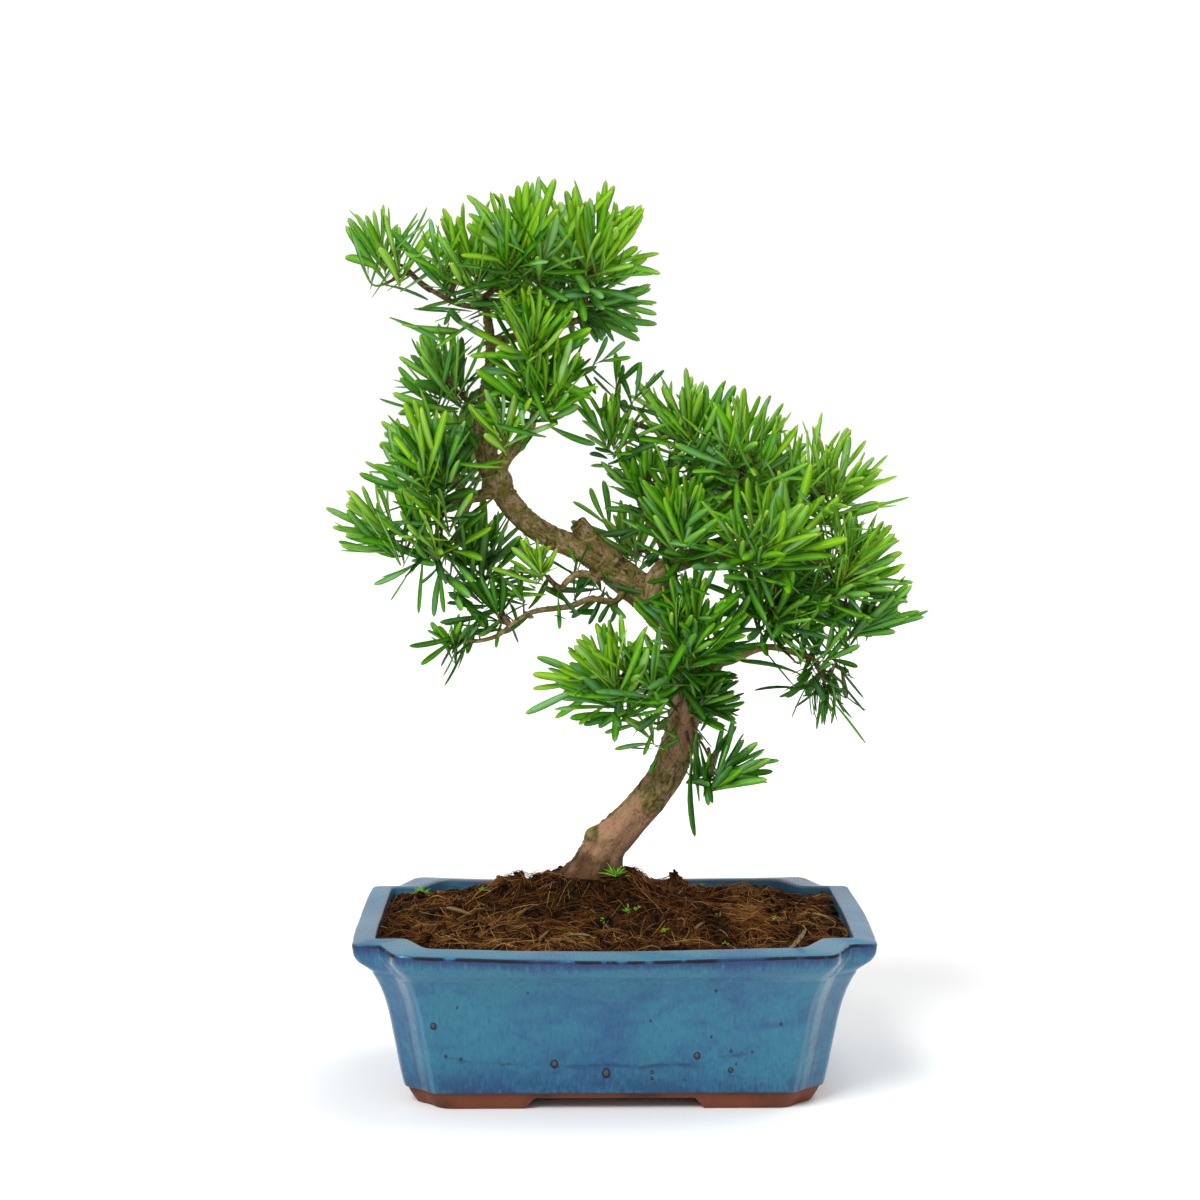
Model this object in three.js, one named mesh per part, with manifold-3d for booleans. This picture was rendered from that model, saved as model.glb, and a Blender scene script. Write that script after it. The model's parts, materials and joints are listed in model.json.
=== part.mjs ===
// A podocarpus grown as a bonsai, in a glazed rectangular pot with notched corners.
// Units are millimetres, +Z is up and the front of the pot faces -Y. While the plant is worked out, the
// origin is on the ground under the middle of the pot; at the end the whole group is centred on its own box.
import * as THREE from "three";
import { mergeVertices } from "three/addons/utils/BufferGeometryUtils.js";
import Module from "manifold-3d";

const wasm = await Module();
wasm.setup();

// ---------------------------------------------------------------- driving sizes

const GAP = 0.3; // clearance between pieces that touch on the real plant
const SLIVER = 0.01; // edges shorter than this are closed up
const WELD = 0.001; // corners closer than this count as one
const BEYOND = 400; // half size of a cutting block that reaches past everything

const POT = {
  height: 102, // from the ground to the top of the rim
  footHeight: 10, // the unglazed foot, up to the glaze line
  archHeight: 7, // the passages between the four feet
  archHalfLength: 47, // half the gap between the feet, seen from the front
  archHalfDepth: 22, // half the gap between the feet, seen from the side
  archSlope: 7, // how far a foot's end leans over its height
  footWall: 13, // thickness of the foot's ring
  floor: 8, // thickness of the pot's floor above the glaze line
  hollow: [40, 80], // heights at which the hollow follows the outside
  lipFoot: 88, // and from which it runs straight up inside the rim
  ease: 4.5, // how far the ears' corners are eased, half as much again in the notches
};

// The pot's outside from the rim down. Each level has its height, the half length and half depth of the
// ears at the corners, the half length and half depth of the long and short panels between them, and the
// notch: 1 where the ear's front runs straight in to it, 0 where ear and panel are joined by one bevel.
const POT_LEVELS = [
  { z: 102.0, earX: 151.0, earY: 79.0, panelX: 125.2, panelY: 105.6, notch: 1 },
  { z: 100.6, earX: 152.4, earY: 80.0, panelX: 126.4, panelY: 107.0, notch: 1 },
  { z: 94.0, earX: 151.8, earY: 79.4, panelX: 125.8, panelY: 106.4, notch: 1 },
  { z: 89.5, earX: 149.8, earY: 76.8, panelX: 123.4, panelY: 104.2, notch: 0.8 },
  { z: 82.5, earX: 142.0, earY: 72.4, panelX: 119.6, panelY: 98.4, notch: 0.35 },
  { z: 64.0, earX: 134.2, earY: 68.4, panelX: 114.2, panelY: 91.4, notch: 0.25 },
  { z: 40.0, earX: 129.6, earY: 64.7, panelX: 110.6, panelY: 85.0, notch: 0.25 },
  { z: 10.0, earX: 124.0, earY: 59.4, panelX: 106.2, panelY: 76.0, notch: 0.25 },
  { z: 0.0, earX: 118.8, earY: 57.4, panelX: 104.0, panelY: 73.7, notch: 0.25 },
];

const RIM_WIDTH = 13.4; // the flat top of the rim
const WALL = 9; // the wall below the rim
const EAR_FLAT = 0.6; // share of the notch's length taken by the ear's flat front

const SOIL = {
  edge: 96, // height where the soil meets the pot
  seatRadius: 22, // the level spot that the trunk stands on
  shoulder: 0.5, // how quickly the ground falls away from it, as a share of that radius
  rings: 5,
  unevenness: 1.3, // height of the ripples between the heaps
};

// The soil's heaps: where each one is, how high it stands over the edge level and how wide it spreads.
const HEAPS = [
  { x: -13, y: 14, rise: 27, spreadX: 62, spreadY: 46 },
  { x: -66, y: 26, rise: 8, spreadX: 15, spreadY: 14 },
  { x: 41, y: 34, rise: 10, spreadX: 11, spreadY: 10 },
  { x: 82, y: 36, rise: 9, spreadX: 17, spreadY: 14 },
  { x: 60, y: -34, rise: 5, spreadX: 44, spreadY: 22 },
  { x: -62, y: -42, rise: 3, spreadX: 40, spreadY: 20 },
];

const GROUND = 123; // the trunk's flat cut, on top of the main heap

const LEAF = {
  length: 41, // larger than life, as there are fewer of them
  width: 10,
  keel: 2.4, // depth of the midrib under the blade
  tipWidth: 0.42, // share of the width left at the blunt tip
  shoulder: 0.97, // share of the length at which the slanting tip begins
  belly: 0.46, // where along its length the blade is widest
  sunk: 0.25, // how far the root runs past the twig's middle
  perShoot: [14, 10, 8, 7], // leaves on each twig, by how many twigs the mass has
  lowTilt: 98, // degrees from the shoot's line, for its lowest leaf
  highTilt: 12, // and for its highest
  roll: 40, // degrees that a blade may be turned about its own length
  band: 24, // length of twig that carries leaves
  shortest: 18, // a leaf that would have to be shorter than this is left out
  cut: 3, // the step by which a leaf is shortened
  vary: 0.14, // share of the length by which leaves differ
};

const TWIG = {
  stem: [2.1, 1.9, 1.6], // radii of a mass's stem, from its limb to its end
  shoot: [1.35, 1.15], // radii of a twig, from the stem to its tip
  sag: 2.5, // how far the stem hangs below a straight line
  crown: 0.62, // share of the way from the limb to the mass's middle at which the stem ends
  below: 0.2, // how far under that way it runs, as a share of the mass's half size
  whorl: 0.45, // share of the stem over which the twigs leave it
  rise: 0.2, // how far past the mass's middle the leader's tip is
  sideRise: -0.14, // and the side twigs' tips
  aside: 0.5, // how far to the side of the middle those are
  vary: 0.15, // share of that by which they differ
};

const FIRST_SEED = 11; // the first mass's seed, and the step to the next one's
const SEED_STEP = 7;
const GOLDEN = Math.PI * (3 - Math.sqrt(5)); // the turn from one leaf to the next

// ---------------------------------------------------------------- the limbs

// Each limb is a tapering line of [x, y, z, radius]. It starts inside its parent and is cut clear of it.
const LIMBS = {
  trunk_lower: {
    sides: 10,
    steps: 13,
    line: [
      [-24, 14, 108, 16.2],
      [-12.8, 14, 123, 13.6],
      [-3.1, 13, 141.3, 11.4],
      [10.4, 11, 156, 10.7],
      [23.1, 9, 170, 10.1],
      [33.4, 6, 186.5, 9.8],
      [39.6, 4, 203.5, 9.4],
      [44.2, 3, 223.9, 9.1],
      [46.6, 4, 244.6, 9.1],
      [42.3, 6, 264.5, 9.7],
      [32.6, 8, 280.8, 10.6],
      [24.5, 8, 290, 10.2],
    ],
  },
  trunk_middle: {
    parent: "trunk_lower",
    sides: 10,
    steps: 10,
    line: [
      [30.5, 8, 284, 9.6],
      [20.5, 8, 293.5, 10.2],
      [8.9, 7, 304.1, 10.2],
      [-6.2, 6, 314.5, 9.4],
      [-21.3, 5, 323.7, 8.2],
      [-36.4, 5, 329.8, 7.6],
      [-49.7, 6, 338.2, 7.5],
      [-60.6, 8, 349.6, 7.3],
      [-68.4, 9, 361, 7],
    ],
  },
  trunk_top: {
    parent: "trunk_middle",
    sides: 9,
    steps: 10,
    line: [
      [-67, 9, 358, 6.6],
      [-73.8, 10, 370.6, 6.9],
      [-77.5, 13, 383.8, 6.5],
      [-79.3, 15, 397.6, 5.3],
      [-77.4, 14, 412.7, 4.2],
      [-74.2, 11, 430.8, 3.1],
      [-73.5, 9, 445.7, 2.9],
      [-75.1, 7, 461.8, 2.5],
      [-76.2, 6, 474.9, 2.1],
    ],
  },
  cut_stub: {
    parent: "trunk_middle",
    sides: 9,
    steps: 4,
    line: [
      [1, 4, 316, 4.2],
      [-4.5, 2, 321.5, 4.5],
      [-12.3, 0, 329, 5.1],
      [-20.7, -2, 338.2, 5.4],
    ],
  },
  bough_right: {
    parent: "trunk_lower",
    sides: 9,
    steps: 9,
    line: [
      [24.5, 7, 289, 5.8],
      [27.6, 4, 305.6, 6],
      [33.6, 3, 312.9, 5.6],
      [44.5, 4, 317.1, 4.8],
      [59.1, 6, 318.7, 4.2],
      [75.6, 8, 319.8, 3.8],
      [90.9, 10, 320.8, 3.4],
      [103, 10, 320.6, 3],
    ],
  },
  bough_right_rise: {
    parent: "bough_right",
    sides: 6,
    steps: 4,
    line: [
      [64, 6, 319, 2.9],
      [67.4, 4, 326, 2.7],
      [71.9, 0, 342.2, 2.4],
      [75.2, -4, 359.2, 2],
    ],
  },
  bough_right_reach: {
    parent: "bough_right",
    sides: 6,
    steps: 4,
    line: [
      [103.5, 9.6, 320.4, 2.8],
      [114.5, 2, 319, 2.5],
      [133.2, -4, 313.4, 2],
    ],
  },
  bough_right_back: {
    parent: "bough_right",
    sides: 6,
    steps: 4,
    line: [
      [82, 9, 320.4, 2.8],
      [86, 22, 326, 2.5],
      [92, 38, 336, 2.1],
    ],
  },
  bough_right_inner: {
    parent: "bough_right",
    sides: 6,
    steps: 5,
    line: [
      [34.5, 3.2, 313.4, 2.3],
      [32.4, 3, 321.4, 2.2],
      [24.5, 2, 334.8, 1.9],
      [17.7, 0, 348.2, 1.7],
      [14.1, -2, 360.4, 1.4],
    ],
  },
  bough_upper_link: {
    parent: "bough_right_rise",
    sides: 6,
    steps: 6,
    line: [
      [72.6, -0.4, 345, 1.9],
      [66, 4, 364, 1.8],
      [48, 8, 384, 1.7],
      [27.5, 8, 393.6, 1.6],
      [5.7, 3, 400.9, 1.4],
      [-6.3, 0, 404, 1.2],
    ],
  },
  bough_low_right: {
    parent: "trunk_lower",
    sides: 6,
    steps: 8,
    line: [
      [46, 4, 250, 2.6],
      [58, 3, 252.5, 2.5],
      [70.6, 0, 256.1, 2.4],
      [83, -4, 262, 2.2],
      [94.9, -6, 264.7, 2],
      [108, -8, 261.9, 1.8],
      [121.3, -8, 257.6, 1.6],
    ],
  },
  bough_low_left: {
    parent: "trunk_middle",
    sides: 6,
    steps: 9,
    line: [
      [8, 0, 300, 2.1],
      [0.8, -8, 292.5, 2],
      [-13.6, -12, 294.5, 1.9],
      [-25.6, -14, 290.5, 1.8],
      [-48.3, -18, 287.3, 1.6],
      [-59, -20, 281.6, 1.5],
      [-68.5, -21, 273.9, 1.4],
      [-81.6, -22, 270.4, 1.2],
      [-90, -23, 271.5, 1.1],
    ],
  },
  bough_curl: {
    parent: "trunk_middle",
    sides: 6,
    steps: 6,
    line: [
      [-4, 3, 311, 2.2],
      [-9.5, -8, 307, 2.1],
      [-18.4, -12, 310.1, 2],
      [-26, -15, 307, 1.9],
      [-31, -17.5, 301.5, 1.8],
    ],
  },
  bough_left: {
    parent: "trunk_middle",
    sides: 6,
    steps: 5,
    line: [
      [-69, 8, 359.5, 3.3],
      [-77.5, 3.5, 356.6, 3],
      [-84.4, 0, 354.9, 2.7],
      [-90.2, -4, 358.8, 2.5],
      [-94.8, -6, 365.5, 2.2],
      [-100.1, -7, 372.7, 1.9],
    ],
  },
  bough_left_drop: {
    parent: "bough_left",
    sides: 6,
    steps: 4,
    line: [
      [-87, -1.6, 356, 2.3],
      [-90, -1.4, 344, 2.1],
      [-92.3, 0, 332, 1.8],
      [-95.4, 1, 321.7, 1.6],
    ],
  },
  bough_fork: {
    parent: "trunk_middle",
    sides: 7,
    steps: 6,
    line: [
      [-68, 7, 362, 4.2],
      [-67.6, -1.5, 371.5, 4.2],
      [-63.1, -6.5, 379.8, 3.9],
      [-55.9, -10, 386.5, 3.3],
      [-49.8, -14, 394.4, 2.7],
      [-46.8, -18, 406.3, 2.2],
    ],
  },
  bough_front_twig: {
    parent: "bough_fork",
    sides: 5,
    steps: 3,
    line: [
      [-62.5, -6.8, 380.2, 2],
      [-63.8, -14, 388, 1.8],
      [-69.3, -18, 400, 1.5],
    ],
  },
  bough_crown_right: {
    parent: "trunk_top",
    sides: 6,
    steps: 5,
    line: [
      [-73.6, 9, 447, 2.5],
      [-54.2, 8, 451.1, 2.3],
      [-36.2, 6, 454.7, 2],
      [-18.2, 4, 461.8, 1.7],
    ],
  },
  bough_crown_left: {
    parent: "trunk_top",
    sides: 5,
    steps: 4,
    line: [
      [-75.9, 6.4, 468, 1.9],
      [-92.7, 0, 470.1, 1.6],
      [-108, -4, 478, 1.3],
    ],
  },
};

// The old cut on the trunk's outer side, just over the roots.
const KNOB = { place: [-13, 11, 148], half: [6.2, 5.2, 4.7] };

// Surface roots that flare from the trunk's foot: direction in degrees, reach and radius.
const ROOTS = [
  { turn: 196, reach: 23, radius: 6.6 },
  { turn: 262, reach: 17, radius: 5.6 },
  { turn: 338, reach: 22, radius: 5 },
  { turn: 70, reach: 19, radius: 5.6 },
];

// A root's own line: how far out along its reach, how high over the ground and how thick, as a share.
const ROOT_LINE = [
  { out: 0.1, up: 12, thick: 0.8 },
  { out: 0.6, up: 1.5, thick: 1 },
  { out: 1, up: -5, thick: 0.7 },
];

// ---------------------------------------------------------------- the masses of foliage

// A mass of foliage: the limb that carries it, the spot on that limb where its stem leaves (0 at the limb's
// start, 1 at its tip), its centre, its half sizes, the way its shoots lean and how many twigs it has. It
// fills its own ellipsoid and no more.
const mass = (on, at, centre, half, lean, shoots) => ({ on, at, centre, half, lean, shoots });

const MASSES = {
  crown_left_spray: mass("bough_crown_left", 1, [-136, -6, 508], [28, 22, 25], [-0.35, 0, 1], 2),
  crown_left: mass("bough_crown_left", 0.72, [-90, -10, 502], [28, 34, 35], [-0.15, -0.1, 1], 2),
  crown_middle: mass("trunk_top", 1, [-50, -24, 510], [31, 34, 36], [0, -0.4, 1], 2),
  crown_right: mass("bough_crown_right", 1, [-10, -8, 507], [34, 32, 39], [0.4, -0.1, 1], 2),
  crown_back: mass("trunk_top", 0.93, [-46, 32, 498], [50, 32, 38], [0, 0.7, 0.8], 3),
  crown_lower_right: mass("bough_crown_right", 0.9, [4, 12, 469], [28, 30, 18], [1, 0.2, -0.1], 1),
  crown_front: mass("bough_crown_right", 0.25, [-50, -34, 460], [31, 30, 29], [0.1, -0.8, 0.7], 2),
  neck_front: mass("bough_fork", 1, [-38, -32, 428], [31, 28, 30], [0.3, -0.5, 0.8], 2),
  neck_low: mass("bough_front_twig", 1, [-66, -32, 408], [24, 20, 21], [-0.1, -0.7, 0.8], 1),
  left_shoulder: mass("trunk_top", 0.47, [-103, 6, 429], [24, 32, 35], [-0.5, 0.1, 1], 2),
  left_upper: mass("bough_left", 1, [-113, -16, 391], [32, 32, 28], [-0.6, -0.3, 0.9], 2),
  left_outer: mass("bough_left_drop", 1, [-138, -8, 343], [37, 30, 26], [-1, -0.1, 0.45], 2),
  left_inner: mass("bough_left", 0.55, [-108, -26, 352], [27, 22, 25], [-0.3, -0.8, 0.4], 1),
  left_under: mass("bough_left_drop", 0.8, [-74, 8, 331], [27, 26, 26], [0.4, 0.2, 0.5], 2),
  left_back: mass("trunk_top", 0.3, [-108, 42, 382], [38, 30, 38], [-0.6, 0.8, 0.3], 2),
  low_left_leaves: mass("bough_low_left", 0.66, [-72, -14, 300], [26, 20, 20], [-0.2, -0.1, 0.9], 1),
  low_left_tip: mass("bough_low_left", 1, [-103, -24, 275], [29, 18, 14], [-1, 0, 0.35], 1),
  curl_sprig: mass("bough_curl", 1, [-46, -21, 319], [12, 14, 17], [-0.3, 0, 1], 1),
  stub_back: mass("bough_right", 0.3, [6, 26, 331], [25, 17, 22], [-0.5, 0.3, 0.8], 1),
  link_sprig: mass("bough_upper_link", 1, [-6, -2, 408], [20, 20, 24], [-0.2, 0, 1], 1),
  right_edge: mass("bough_right_inner", 1, [16, -6, 378], [26, 26, 22], [-0.5, -0.2, 0.8], 2),
  right_crest: mass("bough_upper_link", 0.5, [41, 4, 403], [33, 32, 34], [-0.45, 0.1, 1], 2),
  right_brow: mass("bough_right_rise", 1, [80, -14, 394], [32, 32, 31], [0.1, -0.2, 1], 2),
  right_top: mass("bough_right_reach", 0.5, [124, -4, 369], [42, 34, 37], [0.6, 0, 0.9], 3),
  right_face: mass("bough_right", 0.8, [90, -42, 344], [39, 28, 33], [0.1, -0.9, 0.5], 2),
  right_outer: mass("bough_right_reach", 1, [148, -6, 322], [36, 36, 37], [1, -0.1, 0.6], 3),
  right_corner: mass("bough_right_reach", 0.8, [165, 2, 283], [34, 26, 17], [1, 0, -0.3], 2),
  right_inner: mass("bough_right_inner", 0.45, [40, -28, 350], [30, 26, 31], [0.1, -0.7, 0.8], 2),
  right_lower: mass("bough_right", 0.9, [104, -26, 290], [37, 28, 26], [0.2, -0.7, 0], 2),
  right_droop: mass("bough_low_right", 1, [129, -8, 236], [27, 20, 24], [0.1, 0, -1], 2),
  right_back: mass("bough_right_back", 1, [92, 52, 356], [56, 32, 44], [0, 0.8, 0.6], 3),
  right_back_low: mass("bough_right_back", 0.8, [116, 48, 296], [46, 30, 32], [0.5, 0.8, -0.1], 3),
  front_spray: mass("trunk_lower", 0.76, [0, -36, 254], [44, 28, 34], [-0.9, -0.5, 0.6], 3),
  front_middle: mass("trunk_lower", 0.85, [48, -32, 284], [32, 26, 34], [0.2, -0.8, 0.6], 2),
  lower_right: mass("trunk_lower", 0.72, [70, -10, 234], [24, 26, 22], [0.9, -0.2, 0.1], 2),
  lower_foot: mass("trunk_lower", 0.64, [66, -14, 195], [36, 28, 24], [0.8, -0.5, -0.35], 2),
  lower_back: mass("trunk_lower", 0.72, [44, 44, 240], [34, 30, 34], [-0.1, 1, 0.3], 2),
};

// ---------------------------------------------------------------- finishes

const finish = (color, roughness) => new THREE.MeshStandardMaterial({ color, roughness, metalness: 0 });
const GLAZE = finish(0x3f7ba6, 0.22);
const CLAY = finish(0x5e3424, 0.75);
const EARTH = finish(0x3b2413, 0.95);
const BARK = finish(0x86694e, 0.9);
const FOLIAGE = finish(0x3f8a22, 0.45);

// ---------------------------------------------------------------- shared helpers

const vec = (x, y, z) => new THREE.Vector3(x, y, z);
const radians = THREE.MathUtils.degToRad;
const lerp = THREE.MathUtils.lerp;

// A repeatable stream of numbers from 0 to 1.
function seeded(seed) {
  let state = seed >>> 0;
  return () => {
    state = (state + 0x6d2b79f5) >>> 0;
    let t = Math.imul(state ^ (state >>> 15), 1 | state);
    t = (t + Math.imul(t ^ (t >>> 7), 61 | t)) ^ t;
    return ((t ^ (t >>> 14)) >>> 0) / 4294967296;
  };
}

// A closed geometry as a solid that can be joined and cut.
function toSolid(geometry) {
  const bare = geometry.clone();
  bare.deleteAttribute("normal");
  bare.deleteAttribute("uv");
  const merged = mergeVertices(bare, 1e-4);
  return new wasm.Manifold(
    new wasm.Mesh({
      numProp: 3,
      vertProperties: new Float32Array(merged.attributes.position.array),
      triVerts: new Uint32Array(merged.index.array),
    }),
  );
}

// A solid as a geometry for a mesh.
function toGeometry(solid) {
  const { vertProperties, triVerts, numProp, numVert } = solid.getMesh();
  const positions = new Float32Array(numVert * 3);
  for (let i = 0; i < numVert; i++)
    positions.set(vertProperties.subarray(i * numProp, i * numProp + 3), i * 3);
  const geometry = new THREE.BufferGeometry();
  geometry.setAttribute("position", new THREE.BufferAttribute(positions, 3));
  geometry.setIndex(new THREE.BufferAttribute(new Uint32Array(triVerts), 1));
  geometry.computeVertexNormals();
  return geometry;
}

// The largest body of a solid, so that a loose scrap is dropped, with its slivers smoothed away.
function largestBody(solid) {
  return solid
    .simplify(SLIVER)
    .decompose()
    .reduce((a, b) => (b.volume() > a.volume() ? b : a));
}

// Whether a solid is still closed once corners that all but coincide are joined, on either of two grids.
function staysClosed(solid) {
  const { vertProperties, triVerts, numProp, numVert } = solid.getMesh();
  return [0, 0.5].every((offset) => {
    const ids = new Map();
    const welded = [];
    for (let i = 0; i < numVert; i++) {
      const corner = vertProperties.subarray(i * numProp, i * numProp + 3);
      const key = Array.from(corner, (c) => Math.round(c / WELD + offset)).join();
      if (!ids.has(key)) ids.set(key, ids.size);
      welded.push(ids.get(key));
    }
    const edges = new Set();
    for (let i = 0; i < triVerts.length; i += 3) {
      const face = [0, 1, 2].map((k) => welded[triVerts[i + k]]);
      if (new Set(face).size < 3) continue;
      for (const [k, from] of face.entries()) {
        const edge = from * numVert + face[(k + 1) % 3];
        if (edges.has(edge)) return false;
        edges.add(edge);
      }
    }
    return [...edges].every((edge) => edges.has((edge % numVert) * numVert + Math.floor(edge / numVert)));
  });
}

function box(low, high) {
  const size = high.clone().sub(low);
  const middle = high.clone().add(low).multiplyScalar(0.5);
  return toSolid(new THREE.BoxGeometry(size.x, size.y, size.z).translate(middle.x, middle.y, middle.z));
}

// Faces through closed rings of equal length, with a flat face at each end. Rings run anticlockwise, rising.
function loft(rings) {
  const count = rings[0].length;
  const ends = [rings[0], rings[rings.length - 1]].map((ring) =>
    ring.reduce((sum, p) => sum.add(p), vec(0, 0, 0)).divideScalar(count),
  );
  const positions = [...rings.flat(), ...ends].flatMap((p) => [p.x, p.y, p.z]);
  const foot = rings.length * count;
  const head = foot + 1;
  const top = (rings.length - 1) * count;
  const index = [];
  for (let i = 0; i < count; i++) {
    const next = (i + 1) % count;
    for (let level = 0; level < top; level += count) {
      const [a, b, c, d] = [level + i, level + next, level + count + next, level + count + i];
      index.push(a, b, c, a, c, d);
    }
    index.push(foot, next, i, head, top + i, top + next);
  }
  return indexed(positions, index);
}

function indexed(positions, index) {
  const geometry = new THREE.BufferGeometry();
  geometry.setAttribute("position", new THREE.Float32BufferAttribute(positions, 3));
  geometry.setIndex(index);
  return geometry;
}

// ---------------------------------------------------------------- pot and soil

// A corner point of an outline eased by a curve that starts and ends `ease` away from it.
function easedCorner(before, corner, after, ease, steps) {
  const start = corner.clone().add(before.clone().sub(corner).setLength(ease));
  const end = corner.clone().add(after.clone().sub(corner).setLength(ease));
  return new THREE.QuadraticBezierCurve(start, corner, end).getPoints(steps);
}

// The pot's outline at one level: straight panels, and at each corner an ear set back by a notch.
function potOutline({ z, earX, earY, panelX, panelY, notch }, steps = 2) {
  const flat = (earX - panelX) * EAR_FLAT;
  const out = (panelY - earY) * EAR_FLAT * (1 - notch);
  const quarter = [
    { point: new THREE.Vector2(earX, earY), ease: POT.ease },
    { point: new THREE.Vector2(earX - flat, earY + out), ease: POT.ease * 0.8 },
    { point: new THREE.Vector2(panelX, panelY), ease: POT.ease * 1.4 },
  ];
  const inQuarter = (signX, signY) =>
    quarter.map((corner) => ({
      point: corner.point.clone().multiply(new THREE.Vector2(signX, signY)),
      ease: corner.ease,
    }));
  const corners = [
    ...inQuarter(1, 1),
    ...inQuarter(-1, 1).reverse(),
    ...inQuarter(-1, -1),
    ...inQuarter(1, -1).reverse(),
  ];
  return corners.flatMap((corner, i) => {
    const before = corners.at(i - 1).point;
    const after = corners[(i + 1) % corners.length].point;
    return easedCorner(before, corner.point, after, corner.ease, steps).map((p) => vec(p.x, p.y, z));
  });
}

// The same level drawn in by a wall's thickness.
function drawnIn(level, by) {
  return {
    z: level.z,
    earX: level.earX - by,
    earY: level.earY - by * 0.7,
    panelX: level.panelX - by * 1.35,
    panelY: level.panelY - by,
    notch: level.notch,
  };
}

// The sizes of the pot's outside at any height.
function levelAt(z) {
  const upper = POT_LEVELS.findLastIndex((level) => level.z >= z);
  const [a, b] = [POT_LEVELS[upper], POT_LEVELS[Math.min(upper + 1, POT_LEVELS.length - 1)]];
  const share = a.z === b.z ? 0 : (a.z - z) / (a.z - b.z);
  const mixed = Object.keys(a).map((key) => [key, lerp(a[key], b[key], share)]);
  return { ...Object.fromEntries(mixed), z };
}

// The hollow's levels, from the floor up to just over the rim. `clear` draws them in further.
function hollowLevels(top, clear) {
  const floor = POT.footHeight + POT.floor + clear;
  const under = [floor, ...POT.hollow].map((z) => drawnIn(levelAt(z), WALL + clear));
  const neck = drawnIn(POT_LEVELS[1], RIM_WIDTH + clear);
  return [...under, { ...neck, z: POT.lipFoot }, { ...neck, z: top }];
}

function pot() {
  const outside = POT_LEVELS.filter((level) => level.z >= POT.footHeight).reverse();
  const hollow = hollowLevels(POT.height + 5, 0);
  const block = toSolid(loft(outside.map((level) => potOutline(level))));
  return block.subtract(toSolid(loft(hollow.map((level) => potOutline(level, 1)))));
}

// The unglazed foot: a ring cut through by a passage each way, which leaves four corner feet.
function potFoot() {
  const levels = POT_LEVELS.filter((level) => level.z <= POT.footHeight).reverse();
  const block = toSolid(loft(levels.map((l) => potOutline(l))));
  const sole = levels[0];
  const ring = (halfX, halfY, z) => [
    vec(halfX, halfY, z),
    vec(-halfX, halfY, z),
    vec(-halfX, -halfY, z),
    vec(halfX, -halfY, z),
  ];
  const { archHalfLength: length, archHalfDepth: depth, archSlope: slope, archHeight: top } = POT;
  const crossways = toSolid(loft([ring(length + slope, BEYOND, -1), ring(length, BEYOND, top)]));
  const lengthways = toSolid(loft([ring(BEYOND, depth + slope, -1), ring(BEYOND, depth, top)]));
  const inside = toSolid(
    loft([-1, POT.archHeight].map((z) => potOutline({ ...drawnIn(sole, POT.footWall), z }))),
  );
  return block.subtract(crossways).subtract(lengthways).subtract(inside);
}

function soilHeight(x, y) {
  const heaped = HEAPS.reduce(
    (sum, h) => sum + h.rise * Math.exp(-(((x - h.x) / h.spreadX) ** 2) - ((y - h.y) / h.spreadY) ** 2),
    SOIL.edge,
  );
  const crumbs = SOIL.unevenness * Math.sin(x * 0.23 + 1.7) * Math.sin(y * 0.31 + 0.4);
  const seat = Math.hypot(x - HEAPS[0].x, y - HEAPS[0].y) / SOIL.seatRadius;
  const level = GROUND - GAP;
  return seat <= 1 ? level : lerp(heaped + crumbs, level, Math.exp(-(((seat - 1) / SOIL.shoulder) ** 2)));
}

// The root ball: it follows the pot's hollow with a small gap and rises to the heap that carries the trunk.
function soil() {
  const sides = hollowLevels(SOIL.edge, GAP).filter((level) => level.z < SOIL.edge);
  const rim = potOutline({ ...hollowLevels(SOIL.edge, GAP).at(-1), z: SOIL.edge }, 1);
  const centre = vec(HEAPS[0].x, HEAPS[0].y, 0);
  const seatRing = rim.map((p) => p.clone().sub(centre).setZ(0).setLength(SOIL.seatRadius).add(centre));
  const top = [];
  for (let ring = 0; ring <= SOIL.rings; ring++) {
    const share = ring / SOIL.rings;
    top.push(
      rim.map((p, i) => {
        const x = lerp(p.x, seatRing[i].x, share);
        const y = lerp(p.y, seatRing[i].y, share);
        const z = ring === 0 ? SOIL.edge : lerp(SOIL.edge, soilHeight(x, y), Math.min(1, share * 3));
        return vec(x, y, z);
      }),
    );
  }
  return toSolid(loft([...sides.map((l) => potOutline(l, 1)), ...top]));
}

// ---------------------------------------------------------------- limbs

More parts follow.
